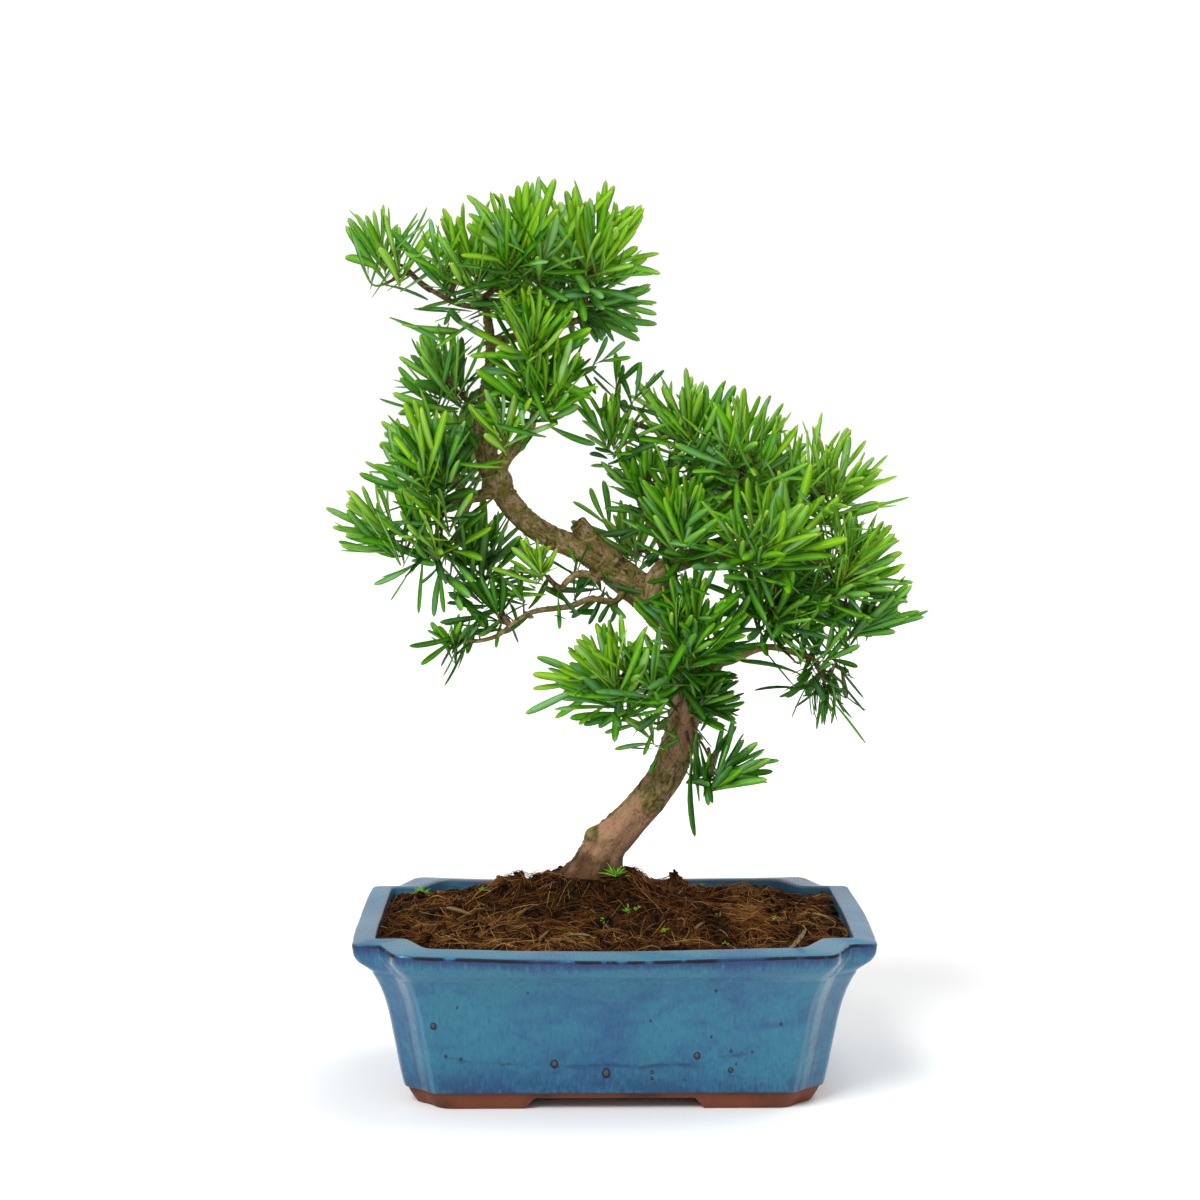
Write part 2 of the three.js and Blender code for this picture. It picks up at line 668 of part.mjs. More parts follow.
// A tube of round sections along a smooth line of [x, y, z, radius], closed at both ends. It can be grown,
// all round and at both ends.
function tube(points, sides, steps, grow = 0) {
  const spots = points.map(([x, y, z]) => vec(x, y, z));
  const [first, second] = spots;
  const [beforeLast, last] = spots.slice(-2);
  first.add(first.clone().sub(second).setLength(grow));
  last.add(last.clone().sub(beforeLast).setLength(grow));
  const line = new THREE.CatmullRomCurve3(spots);
  const radiusAt = (t) => {
    const place = t * (points.length - 1);
    const i = Math.min(Math.floor(place), points.length - 2);
    return lerp(points[i][3], points[i + 1][3], place - i) + grow;
  };
  const frames = [];
  let across = null;
  for (let step = 0; step <= steps; step++) {
    const along = line.getTangent(step / steps);
    across ??= vec(0, 1, 0).cross(along).lengthSq() > 0.05 ? vec(0, 1, 0) : vec(1, 0, 0);
    across = across.clone().addScaledVector(along, -across.dot(along)).normalize();
    frames.push({ across, around: across.clone().cross(along) });
  }
  const geometry = new THREE.CylinderGeometry(1, 1, 1, sides, steps);
  const spot = geometry.attributes.position;
  for (let i = 0; i < spot.count; i++) {
    const t = spot.getY(i) + 0.5;
    const { across: a, around: b } = frames[Math.round(t * steps)];
    const radius = radiusAt(t);
    const place = line.getPoint(t);
    place.addScaledVector(a, spot.getX(i) * radius);
    place.addScaledVector(b, spot.getZ(i) * radius);
    spot.setXYZ(i, place.x, place.y, place.z);
  }
  return toSolid(geometry);
}

// A root runs from inside the trunk's foot out and down under the ground line, where the flat cut ends it.
function root({ turn, reach, radius }) {
  const way = vec(Math.cos(radians(turn)), Math.sin(radians(turn)), 0);
  const line = ROOT_LINE.map(({ out, up, thick }) => {
    const spot = vec(HEAPS[0].x, HEAPS[0].y, GROUND + up).addScaledVector(way, reach * out);
    return [spot.x, spot.y, spot.z, radius * thick];
  });
  return tube(line, 6, 3);
}

function knob() {
  return toSolid(new THREE.IcosahedronGeometry(1, 1).scale(...KNOB.half).translate(...KNOB.place));
}

// Every limb, each cut clear of the ones before it.
function limbSolids() {
  const ground = box(vec(-BEYOND, -BEYOND, -BEYOND), vec(BEYOND, BEYOND, GROUND));
  const made = {};
  for (const [name, limb] of Object.entries(LIMBS)) {
    let solid = tube(limb.line, limb.sides, limb.steps);
    if (name === "trunk_lower")
      solid = [...ROOTS.map(root), knob()].reduce((sum, piece) => sum.add(piece), solid).subtract(ground);
    for (const earlier of Object.keys(made))
      if (solid.minGap(made[earlier], 2 * GAP) < GAP) solid = solid.subtract(cutter(earlier));
    made[name] = largestBody(solid);
  }
  return made;
}

// A limb grown by the gap, for cutting clear what leaves it.
function cutter(name) {
  const { line, sides, steps } = LIMBS[name];
  return tube(line, sides, steps, GAP);
}

// ---------------------------------------------------------------- foliage

// A leaf's blade: a flat strap with a blunt tip and a keel underneath. It lies along +Y with its face to +Z.
function blade(length) {
  const half = LEAF.width / 2;
  const tip = half * LEAF.tipWidth;
  const belly = length * LEAF.belly;
  const points = [
    [0, -LEAF.sunk, 0],
    [half, belly, 0],
    [tip, length * LEAF.shoulder, 0],
    [-tip, length, 0],
    [-half, belly, 0],
    [0, belly, -LEAF.keel],
  ];
  const faces = [
    [0, 1, 4],
    [1, 2, 4],
    [2, 3, 4],
    [1, 0, 5],
    [2, 1, 5],
    [3, 2, 5],
    [4, 3, 5],
    [0, 4, 5],
  ];
  return indexed(points.flat(), faces.flat());
}

// The turn that carries +Y to `along` and +Z as near as can be to `face`.
function aimed(along, face) {
  const side = along.clone().cross(face).normalize();
  return new THREE.Matrix4().makeBasis(side, along, side.clone().cross(along));
}

// How far a point is from the middle of a mass: 1 on the edge of its space.
function reachIn({ centre, half }, p) {
  return Math.hypot((p.x - centre[0]) / half[0], (p.y - centre[1]) / half[1], (p.z - centre[2]) / half[2]);
}

// The lines of a mass: the stem that runs from its limb towards the mass's middle, the leader that carries
// on past it, and the side twigs that leave the stem one below the other and spread evenly round the lean.
function growth(spec, random) {
  const limb = new THREE.CatmullRomCurve3(LIMBS[spec.on].line.map(([x, y, z]) => vec(x, y, z)));
  const centre = vec(...spec.centre);
  const half = vec(...spec.half);
  const lean = vec(...spec.lean).normalize();
  const turned = new THREE.Quaternion().setFromUnitVectors(vec(0, 0, 1), lean);
  const start = limb.getPoint(spec.at);
  const crown = start.clone().lerp(centre, TWIG.crown);
  crown.addScaledVector(lean.clone().multiply(half), -TWIG.below);
  const bend = start.clone().lerp(crown, 0.5).add(vec(0, 0, -TWIG.sag));
  const stem = new THREE.QuadraticBezierCurve3(start, bend, crown);
  const phase = random() * Math.PI * 2;
  const twigs = [];
  for (let i = 0; i < spec.shoots; i++) {
    const turn = phase + (i * Math.PI * 2) / Math.max(spec.shoots - 1, 1);
    const sideways = vec(Math.cos(turn), Math.sin(turn), 0).applyQuaternion(turned);
    const aside = i > 0 ? TWIG.aside * (1 - TWIG.vary + 2 * TWIG.vary * random()) : 0;
    const rise = i > 0 ? TWIG.sideRise : TWIG.rise;
    const tip = centre
      .clone()
      .addScaledVector(lean.clone().multiply(half), rise)
      .addScaledVector(sideways.multiply(half), aside);
    twigs.push({ from: stem.getPoint(1 - (TWIG.whorl * i) / spec.shoots), tip });
  }
  return { stem, twigs };
}

// The leaves of one shoot, spiralling up the end of its twig and closing in towards the tip. A leaf is cut
// shorter to stay in its mass's space and off its neighbours, and left out where it would be a stub.
function leavesOn({ from, tip }, spec, random, clear) {
  const axis = tip.clone().sub(from).normalize();
  const band = Math.min(LEAF.band, from.distanceTo(tip) * 0.9);
  const side = axis.clone().cross(Math.abs(axis.z) > 0.9 ? vec(1, 0, 0) : vec(0, 0, 1)).normalize();
  const phase = random() * Math.PI * 2;
  const leaves = [];
  const count = LEAF.perShoot[spec.shoots - 1];
  for (let k = 0; k < count; k++) {
    const share = k / (count - 1);
    const out = side.clone().applyAxisAngle(axis, phase + k * GOLDEN);
    const tilt = radians(lerp(LEAF.lowTilt, LEAF.highTilt, share));
    const along = axis.clone().multiplyScalar(Math.cos(tilt)).addScaledVector(out, Math.sin(tilt));
    const root = tip.clone().addScaledVector(axis, -0.4 - band * (1 - share));
    const full = LEAF.length * (1 - LEAF.vary + 2 * LEAF.vary * random());
    const roll = radians(LEAF.roll) * (random() * 2 - 1);
    for (let length = full; length >= LEAF.shortest; length -= LEAF.cut) {
      if (reachIn(spec, root.clone().addScaledVector(along, length)) > 1) continue;
      const leaf = toSolid(blade(length).rotateY(roll).applyMatrix4(aimed(along, axis).setPosition(root)));
      if (!clear(leaf)) continue;
      leaves.push(leaf);
      break;
    }
  }
  return leaves;
}

// A three-sided twig through the given points.
function twigTube(points, radii) {
  const rings = points.map((p, i) => {
    const ahead = points[Math.min(i + 1, points.length - 1)];
    const behind = points[Math.max(i - 1, 0)];
    const axis = ahead.clone().sub(behind).normalize();
    const across = Math.abs(axis.x) < 0.8 ? vec(1, 0, 0) : vec(0, 1, 0);
    const side = axis.clone().cross(across).setLength(radii[i]);
    return [0, 1, 2].map((k) => p.clone().add(side.clone().applyAxisAngle(axis, (k * Math.PI * 2) / 3)));
  });
  const last = (rings.length - 1) * 3;
  const index = [0, 2, 1, last, last + 1, last + 2];
  for (let level = 0; level < last; level += 3)
    for (let k = 0; k < 3; k++) {
      const [a, b] = [level + k, level + ((k + 1) % 3)];
      index.push(a, b, b + 3, a, b + 3, a + 3);
    }
  return toSolid(indexed(rings.flat().flatMap((p) => [p.x, p.y, p.z]), index));
}

// A mass before its leaves: its lines, and its stem as a solid that the other masses keep clear of.
function sprig([name, spec], i) {
  const random = seeded(FIRST_SEED + i * SEED_STEP);
  const { stem, twigs } = growth(spec, random);
  return { name, spec, random, stem, twigs, solid: twigTube(stem.getPoints(2), TWIG.stem) };
}

// One mass as a single solid. A twig that would meet a limb or another mass is left out with its leaves.
function massSolid({ spec, random, stem, twigs, solid: stalk }, taken) {
  const space = spaceOf(spec, stem);
  const near = taken.filter(({ solid }) => boxesMeet(solid.boundingBox(), space));
  const strangers = near.filter(({ name }) => name !== spec.on).map(({ solid }) => solid);
  const own = [];
  const apart = (piece, others) => others.every((other) => piece.minGap(other, 2 * GAP) >= GAP);
  let solid = stalk;
  for (const twig of twigs) {
    const piece = twigTube([twig.from, twig.tip], TWIG.shoot);
    if (!apart(piece, strangers)) continue;
    const others = [...near.map((n) => n.solid), ...own];
    const fresh = leavesOn(twig, spec, random, (leaf) => apart(leaf, others));
    solid = solid.add(piece);
    for (const leaf of fresh) {
      const joined = solid.add(leaf);
      if (!staysClosed(joined)) continue;
      own.push(leaf);
      solid = joined;
    }
  }
  return largestBody(solid.subtract(cutter(spec.on)));
}

// The box that holds a mass's ellipsoid and its stem.
function spaceOf({ centre, half }, stem) {
  const space = new THREE.Box3(
    vec(...centre.map((c, i) => c - half[i])),
    vec(...centre.map((c, i) => c + half[i])),
  );
  return stem.getPoints(4).reduce((sum, p) => sum.expandByPoint(p), space).expandByScalar(LEAF.width);
}

function boxesMeet({ min, max }, space) {
  return space.intersectsBox(new THREE.Box3(vec(...min), vec(...max)));
}

// ---------------------------------------------------------------- the whole plant

function mesh(name, solid, material) {
  const made = new THREE.Mesh(toGeometry(solid), material);
  made.name = name;
  return made;
}

const plant = new THREE.Group();
plant.add(mesh("pot", pot(), GLAZE), mesh("pot_foot", potFoot(), CLAY), mesh("soil", soil(), EARTH));

const limbs = limbSolids();
for (const [name, solid] of Object.entries(limbs)) plant.add(mesh(name, solid, BARK));

const taken = Object.entries(limbs).map(([name, solid]) => ({ name, solid }));
const sprigs = Object.entries(MASSES).map(sprig);
for (const own of sprigs) {
  const others = sprigs.filter((other) => other !== own);
  const solid = massSolid(own, [...taken, ...others]);
  taken.push({ name: own.name, solid });
  plant.add(mesh(`leaves_${own.name}`, solid, FOLIAGE));
}

// The origin goes to the middle of the foot of the plant's own box.
const bounds = new THREE.Box3().setFromObject(plant, true);
plant.position.set(-(bounds.min.x + bounds.max.x) / 2, -(bounds.min.y + bounds.max.y) / 2, 0);

export default plant;
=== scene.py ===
"""Dresses the potted podocarpus: a bonsai with a winding trunk, standing in a blue glazed pot.

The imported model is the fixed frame. Sizes are written in millimetres in the plant's own layout, whose origin
is on the ground under the middle of the pot, and `Layout` turns them into metres in the frame. Every piece
rides on the one body and stands for the solids whose place it takes.
"""

from __future__ import annotations

import json
import logging
import math
from collections.abc import Iterable, Iterator, Sequence
from dataclasses import dataclass, field
from enum import Enum

import bmesh
import bpy
import numpy as np
from mathutils import Euler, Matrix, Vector

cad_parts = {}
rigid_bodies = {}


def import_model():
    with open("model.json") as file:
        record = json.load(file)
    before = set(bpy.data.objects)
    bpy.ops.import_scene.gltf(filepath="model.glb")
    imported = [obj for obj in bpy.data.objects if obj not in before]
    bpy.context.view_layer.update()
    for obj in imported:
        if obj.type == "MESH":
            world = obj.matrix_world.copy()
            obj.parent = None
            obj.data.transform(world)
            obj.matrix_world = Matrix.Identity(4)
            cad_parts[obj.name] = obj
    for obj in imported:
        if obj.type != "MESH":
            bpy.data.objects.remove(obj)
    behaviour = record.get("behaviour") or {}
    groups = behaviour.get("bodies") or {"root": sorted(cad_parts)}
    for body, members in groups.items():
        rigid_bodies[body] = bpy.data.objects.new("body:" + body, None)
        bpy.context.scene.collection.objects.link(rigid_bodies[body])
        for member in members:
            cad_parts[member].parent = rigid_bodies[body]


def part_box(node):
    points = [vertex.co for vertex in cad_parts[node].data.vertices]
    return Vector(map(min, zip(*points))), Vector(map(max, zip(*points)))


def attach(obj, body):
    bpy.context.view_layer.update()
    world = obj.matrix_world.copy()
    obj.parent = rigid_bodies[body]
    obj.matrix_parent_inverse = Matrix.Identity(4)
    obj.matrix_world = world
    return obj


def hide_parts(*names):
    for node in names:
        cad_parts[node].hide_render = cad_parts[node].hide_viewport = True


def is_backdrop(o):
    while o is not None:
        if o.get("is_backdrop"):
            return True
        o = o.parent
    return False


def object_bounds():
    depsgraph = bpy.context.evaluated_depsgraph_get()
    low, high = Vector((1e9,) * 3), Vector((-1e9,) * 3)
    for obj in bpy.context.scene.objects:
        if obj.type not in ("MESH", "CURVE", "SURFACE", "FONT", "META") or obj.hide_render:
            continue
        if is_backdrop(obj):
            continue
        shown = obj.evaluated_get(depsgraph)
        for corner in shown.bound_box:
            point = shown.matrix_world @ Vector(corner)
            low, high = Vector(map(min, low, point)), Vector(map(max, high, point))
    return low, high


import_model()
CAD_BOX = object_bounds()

log = logging.getLogger("podocarpus")

MM = 0.001
BODY = "root"
GOLDEN = math.pi * (3 - math.sqrt(5))
UP = np.array([0.0, 0.0, 1.0])
ALL_WAYS = ((-1, 1), (-1, 1), (-1, 1))

Array = np.ndarray
Piece = bpy.types.Object
Material = bpy.types.Material
Colour = tuple[float, float, float]
Spot = tuple[float, float, float]
Span = tuple[float, float]
Row = tuple[float, ...]


# ---------------------------------------------------------------- the plant's own layout


@dataclass(frozen=True)
class Limb:
    """A tapering limb: what it grows from and its line of (x, y, z, radius) in millimetres."""

    parent: str | None
    line: tuple[Row, ...]


LIMBS: dict[str, Limb] = {
    "trunk_lower": Limb(None, (
        (-24, 14, 108, 16.2), (-12.8, 14, 123, 13.6), (-3.1, 13, 141.3, 11.4), (10.4, 11, 156, 10.7),
        (23.1, 9, 170, 10.1), (33.4, 6, 186.5, 9.8), (39.6, 4, 203.5, 9.4), (44.2, 3, 223.9, 9.1),
        (46.6, 4, 244.6, 9.1), (42.3, 6, 264.5, 9.7), (32.6, 8, 280.8, 10.6), (24.5, 8, 290, 10.2))),
    "trunk_middle": Limb("trunk_lower", (
        (30.5, 8, 284, 9.6), (20.5, 8, 293.5, 10.2), (8.9, 7, 304.1, 10.2), (-6.2, 6, 314.5, 9.4),
        (-21.3, 5, 323.7, 8.2), (-36.4, 5, 329.8, 7.6), (-49.7, 6, 338.2, 7.5), (-60.6, 8, 349.6, 7.3),
        (-68.4, 9, 361, 7))),
    "trunk_top": Limb("trunk_middle", (
        (-67, 9, 358, 6.6), (-73.8, 10, 370.6, 6.9), (-77.5, 13, 383.8, 6.5), (-79.3, 15, 397.6, 5.3),
        (-77.4, 14, 412.7, 4.2), (-74.2, 11, 430.8, 3.1), (-73.5, 9, 445.7, 2.9), (-75.1, 7, 461.8, 2.5),
        (-76.2, 6, 474.9, 2.1))),
    "cut_stub": Limb("trunk_middle", (
        (1, 4, 316, 4.2), (-4.5, 2, 321.5, 4.5), (-12.3, 0, 329, 5.1), (-20.7, -2, 338.2, 5.4))),
    "bough_right": Limb("trunk_lower", (
        (24.5, 7, 289, 5.8), (27.6, 4, 305.6, 6), (33.6, 3, 312.9, 5.6), (44.5, 4, 317.1, 4.8),
        (59.1, 6, 318.7, 4.2), (75.6, 8, 319.8, 3.8), (90.9, 10, 320.8, 3.4), (103, 10, 320.6, 3))),
    "bough_right_rise": Limb("bough_right", (
        (64, 6, 319, 2.9), (67.4, 4, 326, 2.7), (71.9, 0, 342.2, 2.4), (75.2, -4, 359.2, 2))),
    "bough_right_reach": Limb("bough_right", (
        (103.5, 9.6, 320.4, 2.8), (114.5, 2, 319, 2.5), (133.2, -4, 313.4, 2))),
    "bough_right_back": Limb("bough_right", (
        (82, 9, 320.4, 2.8), (86, 22, 326, 2.5), (92, 38, 336, 2.1))),
    "bough_right_inner": Limb("bough_right", (
        (34.5, 3.2, 313.4, 2.3), (32.4, 3, 321.4, 2.2), (24.5, 2, 334.8, 1.9), (17.7, 0, 348.2, 1.7),
        (14.1, -2, 360.4, 1.4))),
    "bough_upper_link": Limb("bough_right_rise", (
        (72.6, -0.4, 345, 1.9), (66, 4, 364, 1.8), (48, 8, 384, 1.7), (27.5, 8, 393.6, 1.6),
        (5.7, 3, 400.9, 1.4), (-6.3, 0, 404, 1.2))),
    "bough_low_right": Limb("trunk_lower", (
        (46, 4, 250, 2.6), (58, 3, 252.5, 2.5), (70.6, 0, 256.1, 2.4), (83, -4, 262, 2.2),
        (94.9, -6, 264.7, 2), (108, -8, 261.9, 1.8), (121.3, -8, 257.6, 1.6))),
    "bough_low_left": Limb("trunk_middle", (
        (8, 0, 300, 2.1), (0.8, -8, 292.5, 2), (-13.6, -12, 294.5, 1.9), (-25.6, -14, 290.5, 1.8),
        (-48.3, -18, 287.3, 1.6), (-59, -20, 281.6, 1.5), (-68.5, -21, 273.9, 1.4), (-81.6, -22, 270.4, 1.2),
        (-90, -23, 271.5, 1.1))),
    "bough_curl": Limb("trunk_middle", (
        (-4, 3, 311, 2.2), (-9.5, -8, 307, 2.1), (-18.4, -12, 310.1, 2), (-26, -15, 307, 1.9),
        (-31, -17.5, 301.5, 1.8))),
    "bough_left": Limb("trunk_middle", (
        (-69, 8, 359.5, 3.3), (-77.5, 3.5, 356.6, 3), (-84.4, 0, 354.9, 2.7), (-90.2, -4, 358.8, 2.5),
        (-94.8, -6, 365.5, 2.2), (-100.1, -7, 372.7, 1.9))),
    "bough_left_drop": Limb("bough_left", (
        (-87, -1.6, 356, 2.3), (-90, -1.4, 344, 2.1), (-92.3, 0, 332, 1.8), (-95.4, 1, 321.7, 1.6))),
    "bough_fork": Limb("trunk_middle", (
        (-68, 7, 362, 4.2), (-67.6, -1.5, 371.5, 4.2), (-63.1, -6.5, 379.8, 3.9), (-55.9, -10, 386.5, 3.3),
        (-49.8, -14, 394.4, 2.7), (-46.8, -18, 406.3, 2.2))),
    "bough_front_twig": Limb("bough_fork", (
        (-62.5, -6.8, 380.2, 2), (-63.8, -14, 388, 1.8), (-69.3, -18, 400, 1.5))),
    "bough_crown_right": Limb("trunk_top", (
        (-73.6, 9, 447, 2.5), (-54.2, 8, 451.1, 2.3), (-36.2, 6, 454.7, 2), (-18.2, 4, 461.8, 1.7))),
    "bough_crown_left": Limb("trunk_top", (
        (-75.9, 6.4, 468, 1.9), (-92.7, 0, 470.1, 1.6), (-108, -4, 478, 1.3))),
}

TRUNK = ("trunk_lower", "trunk_middle", "trunk_top")
BOUGHS = tuple(name for name in LIMBS if name not in TRUNK)


class Tone(Enum):
    """How old a leaf is, which sets its colour. DARK is the mature colour at about half its brightness: partly
    older leaves, partly painted shade for leaves low in and under the crown.
    """

    YOUNG = 0
    FRESH = 1
    MATURE = 2
    DARK = 3
    WITHERED = 4

    def aged(self, steps: int) -> Tone:
        """The tone some steps older, or younger where steps is negative, short of withered."""
        return Tone(min(max(self.value + steps, Tone.YOUNG.value), Tone.DARK.value))


@dataclass(frozen=True)
class Mass:
    """A mass of foliage.

    `on` is the limb that carries it and `at` the spot where its stem leaves it, 0 at the limb's start and 1
    at its tip. It fills the ellipsoid of half sizes `half` round `centre`, its shoots lean along `lean`,
    and `shoots` is how many main twigs it has.
    """

    on: str
    at: float
    centre: Spot
    half: Spot
    lean: Spot
    shoots: int
    tone: Tone = Tone.FRESH


MASSES: dict[str, Mass] = {
    "crown_left_spray": Mass("bough_crown_left", 1, (-136, -6, 508), (28, 22, 25), (-0.35, 0, 1), 2),
    "crown_left": Mass("bough_crown_left", 0.72, (-90, -10, 502), (28, 34, 35), (-0.15, -0.1, 1), 2),
    "crown_middle": Mass("trunk_top", 1, (-50, -24, 510), (31, 34, 36), (0, -0.4, 1), 2),
    "crown_right": Mass("bough_crown_right", 1, (-10, -8, 507), (34, 32, 39), (0.4, -0.1, 1), 2),
    "crown_back": Mass("trunk_top", 0.93, (-46, 32, 498), (50, 32, 38), (0, 0.7, 0.8), 3),
    "crown_lower_right": Mass("bough_crown_right", 0.9, (4, 12, 469), (28, 30, 18), (1, 0.2, -0.1), 1,
                              Tone.DARK),
    "crown_front": Mass("bough_crown_right", 0.25, (-50, -34, 460), (31, 30, 29), (0.1, -0.8, 0.7), 2),
    "neck_front": Mass("bough_fork", 1, (-38, -32, 428), (31, 28, 30), (0.3, -0.5, 0.8), 2),
    "neck_low": Mass("bough_front_twig", 1, (-66, -32, 408), (24, 20, 21), (-0.1, -0.7, 0.8), 1, Tone.YOUNG),
    "left_shoulder": Mass("trunk_top", 0.47, (-103, 6, 429), (24, 32, 35), (-0.5, 0.1, 1), 2, Tone.MATURE),
    "left_upper": Mass("bough_left", 1, (-113, -16, 391), (32, 32, 28), (-0.6, -0.3, 0.9), 2, Tone.MATURE),
    "left_outer": Mass("bough_left_drop", 1, (-138, -8, 343), (37, 30, 26), (-1, -0.1, 0.45), 2,
                       Tone.MATURE),
    "left_inner": Mass("bough_left", 0.55, (-108, -26, 352), (27, 22, 25), (-0.3, -0.8, 0.4), 1, Tone.YOUNG),
    "left_under": Mass("bough_left_drop", 0.8, (-74, 8, 331), (27, 26, 26), (0.4, 0.2, 0.5), 2, Tone.DARK),
    "left_back": Mass("trunk_top", 0.3, (-108, 42, 382), (38, 30, 38), (-0.6, 0.8, 0.3), 2),
    "low_left_leaves": Mass("bough_low_left", 0.66, (-72, -14, 300), (26, 20, 20), (-0.2, -0.1, 0.9), 1,
                            Tone.DARK),
    "low_left_tip": Mass("bough_low_left", 1, (-103, -24, 275), (29, 18, 14), (-1, 0, 0.35), 1, Tone.DARK),
    "curl_sprig": Mass("bough_curl", 1, (-46, -21, 319), (12, 14, 17), (-0.3, 0, 1), 1, Tone.YOUNG),
    "stub_back": Mass("bough_right", 0.3, (6, 26, 331), (25, 17, 22), (-0.5, 0.3, 0.8), 1),
    "link_sprig": Mass("bough_upper_link", 1, (-6, -2, 408), (20, 20, 24), (-0.2, 0, 1), 1, Tone.MATURE),
    "right_edge": Mass("bough_right_inner", 1, (16, -6, 378), (26, 26, 22), (-0.5, -0.2, 0.8), 2,
                       Tone.MATURE),
    "right_crest": Mass("bough_upper_link", 0.5, (41, 4, 403), (33, 32, 34), (-0.45, 0.1, 1), 2),
    "right_brow": Mass("bough_right_rise", 1, (80, -14, 394), (32, 32, 31), (0.1, -0.2, 1), 2),
    "right_top": Mass("bough_right_reach", 0.5, (124, -4, 369), (42, 34, 37), (0.6, 0, 0.9), 3, Tone.YOUNG),
    "right_face": Mass("bough_right", 0.8, (90, -42, 344), (39, 28, 33), (0.1, -0.9, 0.5), 2),
    "right_outer": Mass("bough_right_reach", 1, (148, -6, 322), (36, 36, 37), (1, -0.1, 0.6), 3),
    "right_corner": Mass("bough_right_reach", 0.8, (165, 2, 283), (34, 26, 17), (1, 0, -0.3), 2,
                         Tone.MATURE),
    "right_inner": Mass("bough_right_inner", 0.45, (40, -28, 350), (30, 26, 31), (0.1, -0.7, 0.8), 2,
                        Tone.MATURE),
    "right_lower": Mass("bough_right", 0.9, (104, -26, 290), (37, 28, 26), (0.2, -0.7, 0), 2, Tone.MATURE),
    "right_droop": Mass("bough_low_right", 1, (129, -8, 236), (27, 20, 24), (0.1, 0, -1), 2, Tone.DARK),
    "right_back": Mass("bough_right_back", 1, (92, 52, 356), (56, 32, 44), (0, 0.8, 0.6), 3),
    "right_back_low": Mass("bough_right_back", 0.8, (116, 48, 296), (46, 30, 32), (0.5, 0.8, -0.1), 3,
                           Tone.MATURE),
    "front_spray": Mass("trunk_lower", 0.76, (0, -36, 254), (44, 28, 34), (-0.9, -0.5, 0.6), 3),
    "front_middle": Mass("trunk_lower", 0.85, (48, -32, 284), (32, 26, 34), (0.2, -0.8, 0.6), 2,
                         Tone.MATURE),
    "lower_right": Mass("trunk_lower", 0.72, (70, -10, 234), (24, 26, 22), (0.9, -0.2, 0.1), 2, Tone.DARK),
    "lower_foot": Mass("trunk_lower", 0.64, (66, -14, 195), (36, 28, 24), (0.8, -0.5, -0.35), 2,
                       Tone.MATURE),
    "lower_back": Mass("trunk_lower", 0.72, (44, 44, 240), (34, 30, 34), (-0.1, 1, 0.3), 2, Tone.MATURE),
}

# The first mass's seed and the step to the next one's, as in the solids.
FIRST_SEED, SEED_STEP = 11, 7


@dataclass(frozen=True)
class Layout:
    """Where the plant's own layout lies in the frame."""

    middle: Array

    @classmethod
    def of_pot(cls) -> Layout:
        """The layout whose origin is on the ground under the middle of the pot."""
        low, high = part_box("pot")
        return cls(np.array([(low.x + high.x) / 2, (low.y + high.y) / 2, 0.0]))

    def place(self, points: Array | Sequence[float]) -> Array:
        """Turns points in millimetres into metres in the frame."""
        return np.asarray(points, float) * MM + self.middle


# ---------------------------------------------------------------- numbers and curves


class Stream:
    """A repeatable stream of numbers from 0 to 1, the same as the one behind the solids."""

    def __init__(self, seed: int) -> None:
        """Starts the stream at a seed."""
        self.state = seed & 0xFFFFFFFF

    def next(self) -> float:
        """The next number.

        Returns:
            The number, from 0 to 1.
        """
        self.state = (self.state + 0x6D2B79F5) & 0xFFFFFFFF
        t = ((self.state ^ (self.state >> 15)) * (1 | self.state)) & 0xFFFFFFFF
        t = ((t + (((t ^ (t >> 7)) * (61 | t)) & 0xFFFFFFFF)) & 0xFFFFFFFF) ^ t
        return (t ^ (t >> 14)) / 4294967296

    def between(self, low: float, high: float) -> float:
        """The next number, spread over a range."""
        return low + (high - low) * self.next()

    def vector(self, *spans: Span) -> Array:
        """The next numbers, each spread over its range."""
        return np.array([self.between(*span) for span in spans])

    def turn(self) -> float:
        """The next number as an angle."""
        return self.next() * 2 * math.pi


def unit(vector: Array) -> Array:
    """The vector, or each vector along the last axis, at length 1."""
    return vector / np.maximum(np.linalg.norm(vector, axis=-1, keepdims=True), 1e-12)


def smooth_line(points: Array | Sequence[Row], t: float | Array) -> Array:
    """A centripetal Catmull-Rom line through points.

    Args:
        points: The points, one to a row, with the place in the first three columns.
        t: Where along the line, from 0 to 1, spread evenly over the points.

    Returns:
        The places, one to a row, or a single place where t is a number.
    """
    knots = np.asarray(points, float)[:, :3]
    ends = np.vstack([2 * knots[0] - knots[1], knots, 2 * knots[-1] - knots[-2]])
    place = np.atleast_1d(t) * (len(knots) - 1)
    first = np.clip(np.floor(place).astype(int), 0, len(knots) - 2)
    weight = (place - first)[:, None]
    a, b, c, d = (ends[first + i] for i in range(4))
    gaps = (np.linalg.norm(q - p, axis=1)[:, None] for p, q in ((a, b), (b, c), (c, d)))
    before, here, after = map(np.sqrt, gaps)
    leaving = ((b - a) / before - (c - a) / (before + here) + (c - b) / here) * here
    arriving = ((c - b) / here - (d - b) / (here + after) + (d - c) / after) * here
    cubic = 2 * b - 2 * c + leaving + arriving
    square = -3 * b + 3 * c - 2 * leaving - arriving
    made = b + leaving * weight + square * weight**2 + cubic * weight**3
    return made[0] if np.isscalar(t) else made


